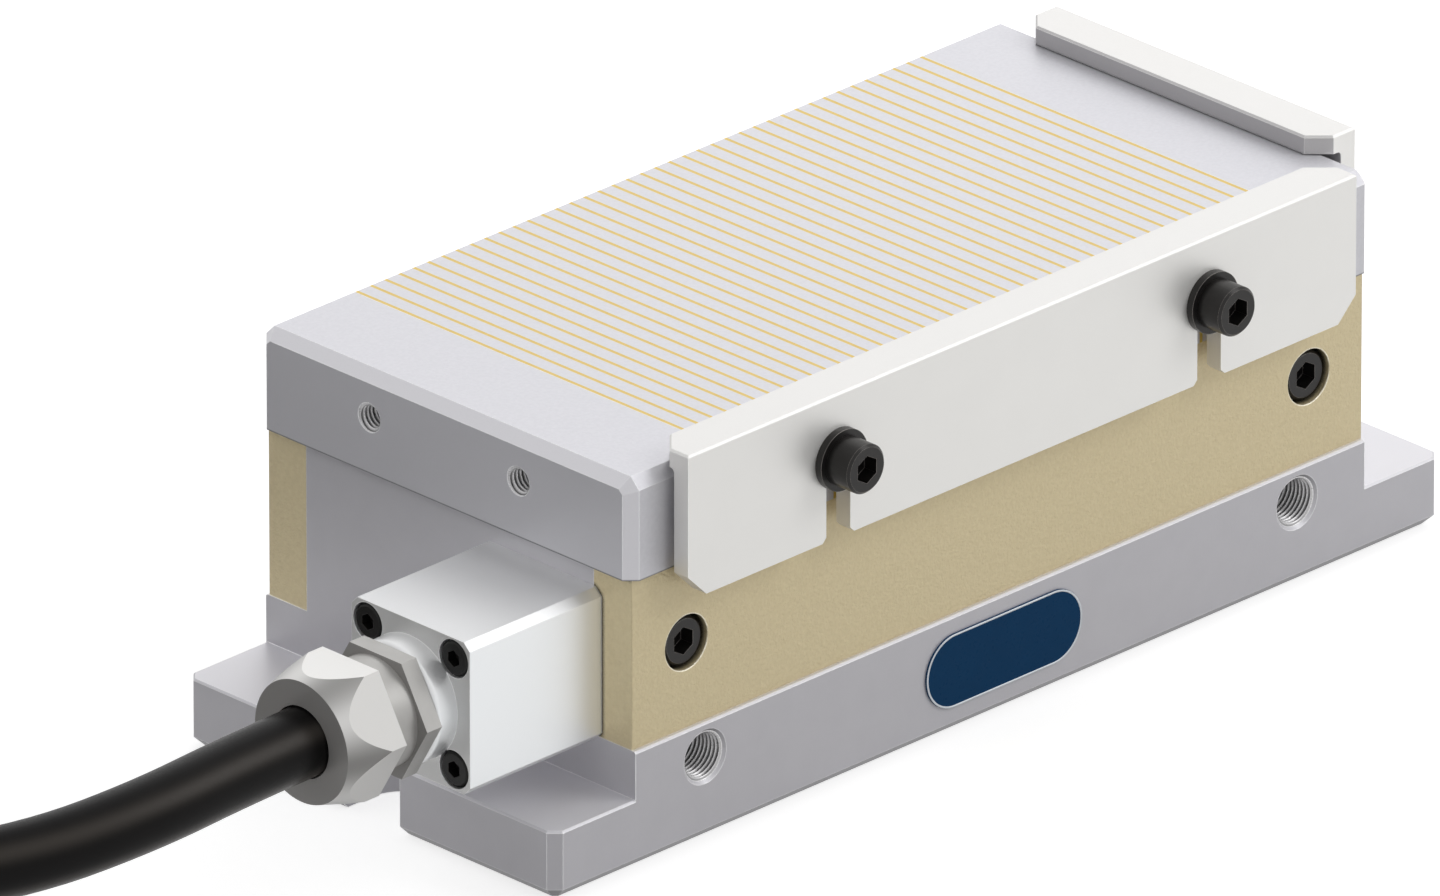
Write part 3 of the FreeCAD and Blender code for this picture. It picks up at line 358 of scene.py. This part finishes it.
def blendTone(tree, shade, tone, mask):
    # shade * (1 - mask) + tone * mask
    mixer = tree.nodes.new("ShaderNodeMix")
    mixer.data_type = "RGBA"
    mixer.inputs["B"].default_value = (*tone, 1.0)
    tree.links.new(shade, mixer.inputs["A"])
    tree.links.new(mask, mixer.inputs["Factor"])
    return mixer.outputs["Result"]


def addNoise(tree, place, size, detail):
    # a noise texture whose features are about as large as the size
    noise = tree.nodes.new("ShaderNodeTexNoise")
    noise.inputs["Scale"].default_value = 1.0 / (size * millimetre)
    noise.inputs["Detail"].default_value = detail
    tree.links.new(place, noise.inputs["Vector"])
    return noise.outputs["Fac"]


def spread(tree, value, ends, low=0.0, high=1.0):
    # low at the first end, high at the second, straight between and held beyond them
    node = tree.nodes.new("ShaderNodeMapRange")
    node.inputs["From Min"].default_value, node.inputs["From Max"].default_value = ends
    node.inputs["To Min"].default_value, node.inputs["To Max"].default_value = low, high
    tree.links.new(value, node.inputs["Value"])
    return node.outputs["Result"]


def axisPart(tree, vector, axis):
    # one part of a vector
    parts = tree.nodes.new("ShaderNodeSeparateXYZ")
    tree.links.new(vector, parts.inputs["Vector"])
    return parts.outputs[axis]


def step(tree, operation, *values, clamp=False):
    # one Math node on sockets or numbers
    node = tree.nodes.new("ShaderNodeMath")
    node.operation = operation
    node.use_clamp = clamp
    for i, value in enumerate(values):
        if isinstance(value, (int, float)):
            node.inputs[i].default_value = value
        else:
            tree.links.new(value, node.inputs[i])
    return node.outputs[0]


def facingMask(tree, place, axis):
    # the amount of the axis in the piece's own normal, either way along it: 1 on faces square to the axis and
    # 0 on faces along it; with a minus sign before the axis, max(0, -amount), so only one side counts
    amount = axisPart(tree, place.outputs["Normal"], axis[-1])
    if axis[0] == "-":
        return step(tree, "MULTIPLY", amount, -1.0, clamp=True)
    return step(tree, "ABSOLUTE", amount)


def slantMask(tree, place, axis, power=1.0, sharpness=1.0):
    # (4 m (1 - m)) to the sharpness, with m the amount of the axis in the normal to a power: 0 on faces along
    # the axis or square to it, most in between
    lean = step(tree, "POWER", facingMask(tree, place, axis), power)
    both = step(tree, "MULTIPLY", lean, step(tree, "SUBTRACT", 1.0, lean))
    return step(tree, "POWER", step(tree, "MULTIPLY", both, 4.0), sharpness)


def reflectionBandMask(tree, place, look):
    # 0.5 + 0.5 cos(count * (angle - start)), with the angle about an axis along X: the bands of a painted
    # reflection
    away = tree.nodes.new("ShaderNodeVectorMath")
    away.operation = "SUBTRACT"
    away.inputs[1].default_value = [value * millimetre for value in look["centre"]]
    tree.links.new(place.outputs["Object"], away.inputs[0])
    up, across = axisPart(tree, away.outputs[0], "Z"), axisPart(tree, away.outputs[0], "Y")
    angle = step(tree, "ARCTAN2", up, step(tree, "MULTIPLY", across, -1.0))
    turned = step(tree, "MULTIPLY_ADD", angle, look["count"], -look["count"] * math.radians(look["start"]))
    return step(tree, "MULTIPLY_ADD", step(tree, "COSINE", turned), 0.5, 0.5)


def cavityMask(tree, place, reach):
    # (1 - the share of directions open within the reach) * (1 - the amount of Y in the normal), so that it
    # grows on the walls of filled holes and leaves the outer face alone; it places painted shade in narrow
    # gaps
    openness = tree.nodes.new("ShaderNodeAmbientOcclusion")
    openness.samples = shading["samples"]
    openness.inputs["Distance"].default_value = reach * millimetre
    closed = spread(tree, openness.outputs["AO"], shading["openRange"])
    return step(tree, "MULTIPLY", closed, step(tree, "SUBTRACT", 1.0, facingMask(tree, place, "Y")))


def seamMask(tree, place, height, width):
    # 1 at a height, falling to 0 over the width above it
    above = step(tree, "SUBTRACT", axisPart(tree, place.outputs["Object"], "Z"), height * millimetre)
    return step(tree, "MULTIPLY_ADD", above, -1.0 / (width * millimetre), 1.0, clamp=True)


def edgeMask(tree, radius, axis=None):
    # 1 - (rounded normal . face normal), which is 0 on a flat face and grows towards an edge; with an axis,
    # times edgeLean of its amount in the rounded normal, up to 1, so that only edges that lean that way
    # count;
    # the mask places a painted highlight on the edges
    rounded = tree.nodes.new("ShaderNodeBevel")
    rounded.samples = shading["samples"]
    rounded.inputs["Radius"].default_value = radius * millimetre
    own = tree.nodes.new("ShaderNodeNewGeometry")
    product = tree.nodes.new("ShaderNodeVectorMath")
    product.operation = "DOT_PRODUCT"
    tree.links.new(rounded.outputs["Normal"], product.inputs[0])
    tree.links.new(own.outputs["True Normal"], product.inputs[1])
    edgeGlint = spread(tree, product.outputs["Value"], shading["edgeRange"])
    if axis:
        amount = step(tree, "ABSOLUTE", axisPart(tree, rounded.outputs["Normal"], axis))
        edgeGlint = step(tree, "MULTIPLY", edgeGlint, step(tree, "MULTIPLY", amount, shading["edgeLean"], clamp=True))
    return rounded.outputs["Normal"], edgeGlint


def makeTone(tree, place, look):
    # two tones mixed by patches of noise or an attribute, then other tones by facing, slant, bands and gaps,
    # which paint light and shade: lit and shaded faces, a highlight on slanted faces, a reflection, and shade
    # in gaps
    tones = tree.nodes.new("ShaderNodeMix")
    tones.data_type = "RGBA"
    tones.inputs["A"].default_value = (*look["darker"], 1.0)
    tones.inputs["B"].default_value = (*look["colour"], 1.0)
    if look.get("byAttribute"):
        measured = tree.nodes.new("ShaderNodeAttribute")
        measured.attribute_name = look["byAttribute"]
        tree.links.new(measured.outputs["Fac"], tones.inputs["Factor"])
    else:
        patches = addNoise(tree, place.outputs["Object"], look["patch"], shading["patchDetail"])
        tree.links.new(spread(tree, patches, shading["patchRange"]), tones.inputs["Factor"])
    shade = tones.outputs["Result"]
    # facing tones: painted light and shade
    for axis, tone in look.get("facingLightAndShade", {}).items():
        shade = blendTone(tree, shade, tone, facingMask(tree, place, axis))
    # slant tone: a painted highlight
    if look.get("slantHighlight"):
        slantHighlight = look["slantHighlight"]
        mask = slantMask(tree, place, slantHighlight["axis"], slantHighlight.get("power", 1.0), slantHighlight.get("sharpness", 1.0))
        shade = blendTone(tree, shade, slantHighlight["colour"], mask)
    # bands: a painted reflection over a cone tone of painted shade
    if look.get("reflectionBands"):
        cone = slantMask(tree, place, "X")
        reflectionBands = step(tree, "MULTIPLY", reflectionBandMask(tree, place, look["reflectionBands"]), cone)
        shade = blendTone(tree, shade, look["reflectionBands"]["dark"], cone)
        shade = blendTone(tree, shade, look["reflectionBands"]["colour"], reflectionBands)
    # cavity tone: painted shade in narrow gaps
    if look.get("cavity"):
        shade = blendTone(tree, shade, look["cavityColour"], cavityMask(tree, place, look["cavity"]))
    return shade


def makeFinish(name, look):
    # colour: the tone above, then a painted highlight on the edges and a seam; roughness: its value plus
    # noise;
    # bump: stretched fine noise on a normal that is rounded at the edges; metal: its value, or the edge's own
    material = bpy.data.materials.new(name)
    material.use_nodes = True
    tree = material.node_tree
    join = tree.links.new
    shader = tree.nodes["Principled BSDF"]
    shader.inputs["Metallic"].default_value = look["metallic"]
    shader.inputs["Specular IOR Level"].default_value = look["gloss"]
    place = tree.nodes.new("ShaderNodeTexCoord")
    bump = tree.nodes.new("ShaderNodeBump")
    bump.inputs["Distance"].default_value = look["grainHeight"] * millimetre
    shade = makeTone(tree, place, look)
    if look.get("edge"):
        rounded, edgeGlint = edgeMask(tree, look["edge"], look.get("edgeAxis"))
        # a painted highlight on the edges
        shade = blendTone(tree, shade, look["edgeHighlightColour"], edgeGlint)
        join(rounded, bump.inputs["Normal"])
        metal = spread(tree, edgeGlint, (0.0, 1.0), look["metallic"], look["edgeMetal"])
        join(metal, shader.inputs["Metallic"])
    if look.get("seam"):
        seam = seamMask(tree, place, look["seam"]["height"], look["seam"]["width"])
        shade = blendTone(tree, shade, look["seam"]["colour"], seam)
    join(shade, shader.inputs["Base Color"])
    pull = tree.nodes.new("ShaderNodeMapping")
    pull.inputs["Scale"].default_value = look.get("stretch", (1.0, 1.0, 1.0))
    join(place.outputs["Object"], pull.inputs["Vector"])
    grain = addNoise(tree, pull.outputs["Vector"], look["grain"], shading["grainDetail"])
    low, high = look["roughness"] - look["spread"], look["roughness"] + look["spread"]
    join(spread(tree, grain, shading["grainRange"], low, high), shader.inputs["Roughness"])
    join(grain, bump.inputs["Height"])
    join(bump.outputs["Normal"], shader.inputs["Normal"])
    return material


# The CAD nodes that each finish dresses
dressing = [
    ("groundSteel", groundSteel, ["base_body", "side_stop_spacers", "end_stop_spacers"]),
    ("blockSteel", blockSteel, ["plate_block_cable_end", "plate_block_stop_end"]),
    ("plateSteel", plateSteel, ["steel_lamellae", "pole_shoes"]),
    ("stripBrass", stripBrass, ["brass_strips"]),
    ("coverBrass", coverBrass, ["side_cover_front", "side_cover_back"]),
    ("satinRail", satinRail, ["side_stop_rail"]),
    ("endRail", endRail, ["end_stop_rail"]),
    (
        "blackOxide",
        blackOxide,
        [
            "side_cover_screws",
            "pole_plate_screws",
            "side_clamp_screw_near",
            "side_clamp_screw_far",
            "end_clamp_screw_front",
            "end_clamp_screw_back",
            "side_stop_washers",
            "end_stop_washers",
        ],
    ),
    ("boxScrew", boxScrew, ["box_screws"]),
    ("blastedBox", blastedBox, ["connection_box"]),
    ("nutNickel", nutNickel, ["gland_dome_nut"]),
    ("glandNickel", glandNickel, ["gland_body"]),
    ("plainNickel", plainNickel, ["plug_gland_nut"]),
    ("cableJacket", cableJacket, ["cable_sheath_end", "cable_run", "cable_coil", "cable_tail"]),
    ("sealRubber", sealRubber, ["box_seal_ring", "gland_seal"]),
    ("badgeEnamel", badgeEnamel, ["name_plate"]),
    ("castMagnet", castMagnet, ["alnico_cores"]),
    ("platedMagnet", platedMagnet, ["neodymium_magnets"]),
    ("copperWinding", copperWinding, ["coil_windings"]),
    ("wirePlastic", wirePlastic, ["coil_links", "coil_leads", "cable_cores"]),
    ("bobbinPlastic", bobbinPlastic, ["coil_bobbins"]),
    ("pottingResin", pottingResin, ["resin_fill"]),
    ("terminalPlastic", terminalPlastic, ["terminal_block"]),
    ("castHood", castHood, ["plug_hood"]),
    ("insertPlastic", insertPlastic, ["plug_insert"]),
    ("silverContact", silverContact, ["plug_contacts"]),
]

finishes = {
    "badgeSilver": makeFinish("badgeSilver", badgeSilver),
    "cutThread": makeFinish("cutThread", cutThread),
}
for name, look, dressed in dressing:
    finishes[name] = makeFinish(name, look)
    for node in dressed:
        for place in nodes[node].material_slots:
            place.material = finishes[name]
print("stage: finishes on", sum(len(dressed) for _, _, dressed in dressing), "nodes")


def addMesh(name, points, quads, finish):
    # the points in millimetres become a smooth mesh in metres, turned outwards by the sign of its volume
    a, b, c, d = (points[quads[:, i]] for i in range(4))
    volume = np.einsum("ij,ij->i", a, np.cross(b, c)).sum() + np.einsum("ij,ij->i", a, np.cross(c, d)).sum()
    if volume < 0:
        quads = quads[:, ::-1]
    mesh = bpy.data.meshes.new(name)
    mesh.vertices.add(len(points))
    mesh.vertices.foreach_set("co", (points * millimetre).astype(np.float32).ravel())
    mesh.loops.add(quads.size)
    mesh.loops.foreach_set("vertex_index", quads.astype(np.int32).ravel())
    mesh.polygons.add(len(quads))
    mesh.polygons.foreach_set("loop_start", np.arange(0, quads.size, 4, dtype=np.int32))
    mesh.polygons.foreach_set("use_smooth", np.ones(len(quads), bool))
    mesh.update()
    mesh.validate()
    mesh.materials.append(finishes[finish])
    piece = bpy.data.objects.new(name, mesh)
    bpy.context.scene.collection.objects.link(piece)
    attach(piece, "chuck_body")
    return piece


def ringGrid(rows, columns):
    # quads of a grid that closes on itself both ways, like the skin of a ring
    i, j = np.meshgrid(np.arange(rows), np.arange(columns), indexing="ij")
    down, across = (i + 1) % rows, (j + 1) % columns
    corners = [i * columns + j, down * columns + j, down * columns + across, i * columns + across]
    return np.stack(corners, -1).reshape(-1, 4)


# Threads: a sleeve in each empty threaded hole, just inside the plain wall
endThreads = {
    "centres": [(-100.0, -20.0, 71.6), (-100.0, 20.0, 71.6)],
    "inwards": (1.0, 0.0, 0.0),
    "radius": 3.0,
    "pitch": 1.0,
    "depth": 0.61,
    "start": 0.15,
    "length": 11.0,
    "backing": 0.3,
    "slope": 1.25,
    "root": 0.08,
    "runOut": 0.25,
    "around": 48,
    "perPitch": 12,
}
sideThreads = dict(
    endThreads,
    centres=[(-80.0, -49.75, 17.4), (80.0, -49.75, 17.4)],
    inwards=(0.0, 1.0, 0.0),
    radius=5.0,
    start=0.55,
    length=18.5,
)


def threadSleeve(name, size, finish):
    # radius = bore - depth * ridge, where ridge is a clipped triangle that repeats once a pitch, runs round
    # as a right-hand helix and fades in over the run-out; the crest attribute is 1 on ridges and at the
    # mouth, and colours a painted highlight on the crests and painted shade in the roots
    steps = int(size["length"] / size["pitch"] * size["perPitch"])
    along = np.linspace(size["start"], size["start"] + size["length"], steps)
    around = np.linspace(0, 2 * np.pi, size["around"], endpoint=False)
    z, turn = np.meshgrid(along, around, indexing="ij")
    phase = (z / size["pitch"] - turn / (2 * np.pi)) % 1.0
    ridge = np.clip(size["slope"] * (1.0 - np.abs(2.0 * phase - 1.0)) - size["root"], 0.0, 1.0)
    fade = np.clip((z - size["start"]) / size["pitch"] / size["runOut"], 0.0, 1.0)
    inner = size["radius"] - size["depth"] * ridge * fade
    wall = np.full((2, size["around"]), size["radius"] + size["backing"])
    radius = np.vstack([inner, wall])
    z = np.vstack([z, z[-1:], z[:1]])
    turn = np.vstack([turn, turn[:2]])
    axis = np.array(size["inwards"])
    side = np.array([0.0, 0.0, 1.0])
    other = np.cross(axis, side)
    shape = (
        axis * z[..., None]
        + side * (radius * np.cos(turn))[..., None]
        + other * (radius * np.sin(turn))[..., None]
    ).reshape(-1, 3)
    quads = ringGrid(*z.shape)
    points = np.vstack([shape + np.array(centre) for centre in size["centres"]])
    quads = np.vstack([quads + k * len(shape) for k in range(len(size["centres"]))])
    piece = addMesh(name, points, quads, finish)
    crest = np.vstack([np.maximum(ridge * fade, 1.0 - fade), np.ones((2, size["around"]))]).ravel()
    values = piece.data.attributes.new("crest", "FLOAT", "POINT")
    values.data.foreach_set("value", np.tile(crest, len(size["centres"])).astype(np.float32))
    return piece


threadSleeve("end_hole_threads", endThreads, "cutThread")
threadSleeve("side_hole_threads", sideThreads, "cutThread")
print("stage: threads")

# Rim of the blank badge
badgeRim = {
    "centre": (0.0, -50.15, 13.3),
    "length": 42.0,
    "height": 15.3,
    "width": 0.45,
    "proud": 0.12,
    "sunk": 0.2,
    "shoulder": 0.7,
    "steps": (0.0, 0.08, 0.5, 0.92, 1.0),
    "perArc": 48,
}


def badgeEdge(name, size):
    # a rounded section carried round a stadium: two half circles joined by straight runs
    outer = size["height"] / 2
    half = np.linspace(-np.pi / 2, np.pi / 2, size["perArc"])
    turn = np.concatenate([half, half + np.pi])
    shift = np.where(np.arange(len(turn)) < size["perArc"], 1, -1) * (size["length"] / 2 - outer)
    inset = size["width"] * np.array(size["steps"])
    shoulder = size["proud"] * size["shoulder"]
    height = np.array([-size["sunk"], shoulder, size["proud"], shoulder, -size["sunk"]])
    reach = outer - inset[:, None]
    points = np.stack(
        [
            size["centre"][0] + shift + reach * np.cos(turn),
            size["centre"][1] - height[:, None] + 0 * turn,
            size["centre"][2] + reach * np.sin(turn),
        ],
        -1,
    ).reshape(-1, 3)
    piece = addMesh(name, points, ringGrid(len(inset), len(turn)), "badgeSilver")
    return piece


badgeEdge("name_plate_rim", badgeRim)
print("stage: badge")

# Cable: out of the gland, down to the floor, three and a third turns, and out to the connector
cableSizes = {
    "exit": (-159.3, -25.0, 39.8),
    "diameter": 14.0,
    "length": 1915.0,
    "run": [
        (-159.3, -25.0, 39.8),
        (-179.3, -25.0, 39.6),
        (-202.2, -24.8, 38.2),
        (-226.5, -19.6, 35.8),
        (-249.7, -7.9, 34.6),
        (-271.5, 8.6, 28.8),
        (-293.1, 26.8, 16.8),
        (-313.2, 47.5, 8.6),
        (-326.2, 70.0, 7.0),
        (-332.2, 91.1, 7.0),
    ],
    "tail": [
        (-229.8, 195.4, 21.0),
        (-214.2, 191.5, 20.4),
        (-195.4, 186.2, 18.2),
        (-176.5, 181.6, 17.0),
        (-160.1, 177.3, 17.0),
    ],
    "coilCentre": (-251.5, 114.3),
    "startAngle": 196.0,
    "sweep": 1201.0,
    "perTurn": 16,
    "outerTurn": 84.0,
    "innerTurn": 70.0,
    "lowLayer": 7.0,
    "highLayer": 21.0,
    "shiftIn": (300.0, 360.0),
    "climb": (600.0, 670.0),
    "shiftOut": (880.0, 950.0),
    "roundSteps": 9,
    "alongSteps": 6,
}


def ease(value, window):
    # 0 before the window, 1 after it, and a smooth rise between
    t = np.clip((value - window[0]) / (window[1] - window[0]), 0.0, 1.0)
    return t * t * (3.0 - 2.0 * t)


def coilPlace(swept, size):
    # radius and height at an angle swept from the coil's start
    step = size["outerTurn"] - size["innerTurn"]
    radius = size["outerTurn"] - step * (ease(swept, size["shiftIn"]) - ease(swept, size["shiftOut"]))
    height = size["lowLayer"] + (size["highLayer"] - size["lowLayer"]) * ease(swept, size["climb"])
    return radius, height


def makeCable(name, size):
    # a spline of order 3 through the run, the coil's turns and the tail, as its control points
    count = round((size["sweep"] / 360.0) * size["perTurn"])
    step = size["sweep"] / count
    swept = (np.arange(count) + 0.5) * step
    radius, height = coilPlace(swept, size)
    radius = radius / math.cos(math.radians(step / 2))
    angle = np.radians(size["startAngle"] - swept)
    x, y = size["coilCentre"]
    turns = np.stack([x + radius * np.cos(angle), y + radius * np.sin(angle), height], -1)
    path = np.vstack([size["run"], turns, size["tail"]]) * millimetre
    curve = bpy.data.curves.new(name, "CURVE")
    curve.dimensions = "3D"
    curve.bevel_depth = size["diameter"] / 2 * millimetre
    curve.bevel_resolution = size["roundSteps"]
    curve.resolution_u = size["alongSteps"]
    curve.use_fill_caps = True
    spline = curve.splines.new("NURBS")
    spline.points.add(len(path) - 1)
    spline.points.foreach_set("co", np.hstack([path, np.ones((len(path), 1))]).ravel())
    spline.order_u = 3
    spline.use_endpoint_u = True
    curve.materials.append(finishes["cableJacket"])
    piece = bpy.data.objects.new(name, curve)
    bpy.context.scene.collection.objects.link(piece)
    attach(piece, "chuck_body")
    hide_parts("cable_run", "cable_coil", "cable_tail")
    return piece


makeCable("supply_cable", cableSizes)
print("stage: cable")

# Straps that tie the coil
coilStraps = {
    "swept": [60.0, 240.0],
    "width": 14.0,
    "thickness": 0.9,
    "edge": 0.25,
    "sunk": 0.4,
    "clear": 0.05,
    "around": 96,
}


def coilStrap(name, size, cable):
    # the hull of the cable's circles at one place round the coil, as a flat band that rests on the floor
    turn = np.linspace(0, 2 * np.pi, size["around"], endpoint=False)
    reach = cable["diameter"] / 2
    x, y = cable["coilCentre"]
    allPoints, allQuads = [], []
    for start in size["swept"]:
        passes = np.arange(start, cable["sweep"], 360.0)
        radius, height = coilPlace(passes, cable)
        out, up = np.cos(turn), np.sin(turn)
        farthest = np.argmax(radius[:, None] * out + height[:, None] * up, axis=0)
        edges = size["width"] / 2 - size["edge"]
        widths = [-edges, -size["width"] / 2, size["width"] / 2, edges, edges, -edges]
        outer, side, inner = size["thickness"], size["thickness"] - size["edge"], -size["sunk"]
        lifts = [outer, side, side, outer, inner, inner]
        rows = []
        for wide, lift in zip(widths, lifts):
            r = radius[farthest] + (reach + lift) * out
            lowest = size["clear"] if lift > 0 else size["sunk"]
            z = np.maximum(height[farthest] + (reach + lift) * up, lowest)
            angle = math.radians(cable["startAngle"] - start)
            rows.append(
                np.stack(
                    [
                        x + r * math.cos(angle) - wide * math.sin(angle),
                        y + r * math.sin(angle) + wide * math.cos(angle),
                        z,
                    ],
                    -1,
                )
            )
        allQuads.append(ringGrid(len(rows), len(turn)) + sum(len(p) for p in allPoints))
        allPoints.append(np.vstack(rows))
    piece = addMesh(name, np.vstack(allPoints), np.vstack(allQuads), "sealRubber")
    return piece


coilStrap("coil_straps", coilStraps, cableSizes)
print("stage: straps")

# Studio: a pale floor that the camera and mirrors see as white, soft lamps and an even world
studio = {
    "floorSize": 30.0,
    "floorDrop": 0.2,
    "floorLight": (0.36, 0.36, 0.36),
    "floorSeen": (0.55, 0.55, 0.55),
    "floorLift": 0.74,
    "worldLight": 0.36,
    "lamps": [
        {"name": "overhead", "from": (0.54, 0.24, 0.72), "size": 0.78, "power": 2.2, "mirrored": False},
        {"name": "back", "from": (0.80, 0.80, 0.70), "size": 0.9, "power": 1.3, "mirrored": True},
        {"name": "front", "from": (1.00, -1.25, 1.25), "size": 1.0, "power": 10.0, "mirrored": True},
        {"name": "left", "from": (-0.80, 0.75, 1.20), "size": 1.2, "power": 3.1, "mirrored": False},
    ],
}


def seenDirectly(tree):
    # 1 for camera, glossy and transmission rays, else 0
    rays = tree.nodes.new("ShaderNodeLightPath")
    first = tree.nodes.new("ShaderNodeMath")
    second = tree.nodes.new("ShaderNodeMath")
    first.operation = second.operation = "MAXIMUM"
    tree.links.new(rays.outputs["Is Camera Ray"], first.inputs[0])
    tree.links.new(rays.outputs["Is Glossy Ray"], first.inputs[1])
    tree.links.new(first.outputs[0], second.inputs[0])
    tree.links.new(rays.outputs["Is Transmission Ray"], second.inputs[1])
    return second.outputs[0]


def makeStudio(look):
    # floor: grey for the light that it bounces, near white with a soft shadow where it is seen
    half = look["floorSize"] / 2
    mesh = bpy.data.meshes.new("floor")
    corners = [(-half, -half, 0), (half, -half, 0), (half, half, 0), (-half, half, 0)]
    mesh.from_pydata(corners, [], [(0, 1, 2, 3)])
    floor = bpy.data.objects.new("floor", mesh)
    floor.location.z = -look["floorDrop"] * millimetre
    bpy.context.scene.collection.objects.link(floor)
    material = bpy.data.materials.new("paleFloor")
    material.use_nodes = True
    mesh.materials.append(material)
    tree = material.node_tree
    tree.nodes.remove(tree.nodes["Principled BSDF"])
    seen = seenDirectly(tree)
    bounced, shown = (tree.nodes.new("ShaderNodeBsdfDiffuse") for _ in range(2))
    bounced.inputs["Color"].default_value = (*look["floorLight"], 1.0)
    shown.inputs["Color"].default_value = (*look["floorSeen"], 1.0)
    lift = tree.nodes.new("ShaderNodeEmission")
    lift.inputs["Strength"].default_value = look["floorLift"]
    both = tree.nodes.new("ShaderNodeAddShader")
    choice = tree.nodes.new("ShaderNodeMixShader")
    tree.links.new(shown.outputs[0], both.inputs[0])
    tree.links.new(lift.outputs[0], both.inputs[1])
    tree.links.new(seen, choice.inputs[0])
    tree.links.new(bounced.outputs[0], choice.inputs[1])
    tree.links.new(both.outputs[0], choice.inputs[2])
    tree.links.new(choice.outputs[0], tree.nodes["Material Output"].inputs["Surface"])
    world = bpy.data.worlds.new("studio")
    world.use_nodes = True
    bpy.context.scene.world = world
    tree = world.node_tree
    light = tree.nodes["Background"]
    light.inputs["Color"].default_value = (1.0, 1.0, 1.0, 1.0)
    light.inputs["Strength"].default_value = look["worldLight"]
    white = tree.nodes.new("ShaderNodeBackground")
    white.inputs["Color"].default_value = (1.0, 1.0, 1.0, 1.0)
    choice = tree.nodes.new("ShaderNodeMixShader")
    tree.links.new(seenDirectly(tree), choice.inputs[0])
    tree.links.new(light.outputs[0], choice.inputs[1])
    tree.links.new(white.outputs[0], choice.inputs[2])
    tree.links.new(choice.outputs[0], tree.nodes["World Output"].inputs["Surface"])
    for lamp in look["lamps"]:
        data = bpy.data.lights.new(lamp["name"], "AREA")
        data.energy, data.size = lamp["power"], lamp["size"]
        item = bpy.data.objects.new(lamp["name"], data)
        bpy.context.scene.collection.objects.link(item)
        item.location = lamp["from"]
        item.rotation_euler = (-Vector(lamp["from"])).to_track_quat("-Z", "Y").to_euler()
        item.visible_camera = False
        item.visible_glossy = lamp["mirrored"]
    bpy.context.scene.view_settings.view_transform = "Standard"


makeStudio(studio)
print("stage: studio")
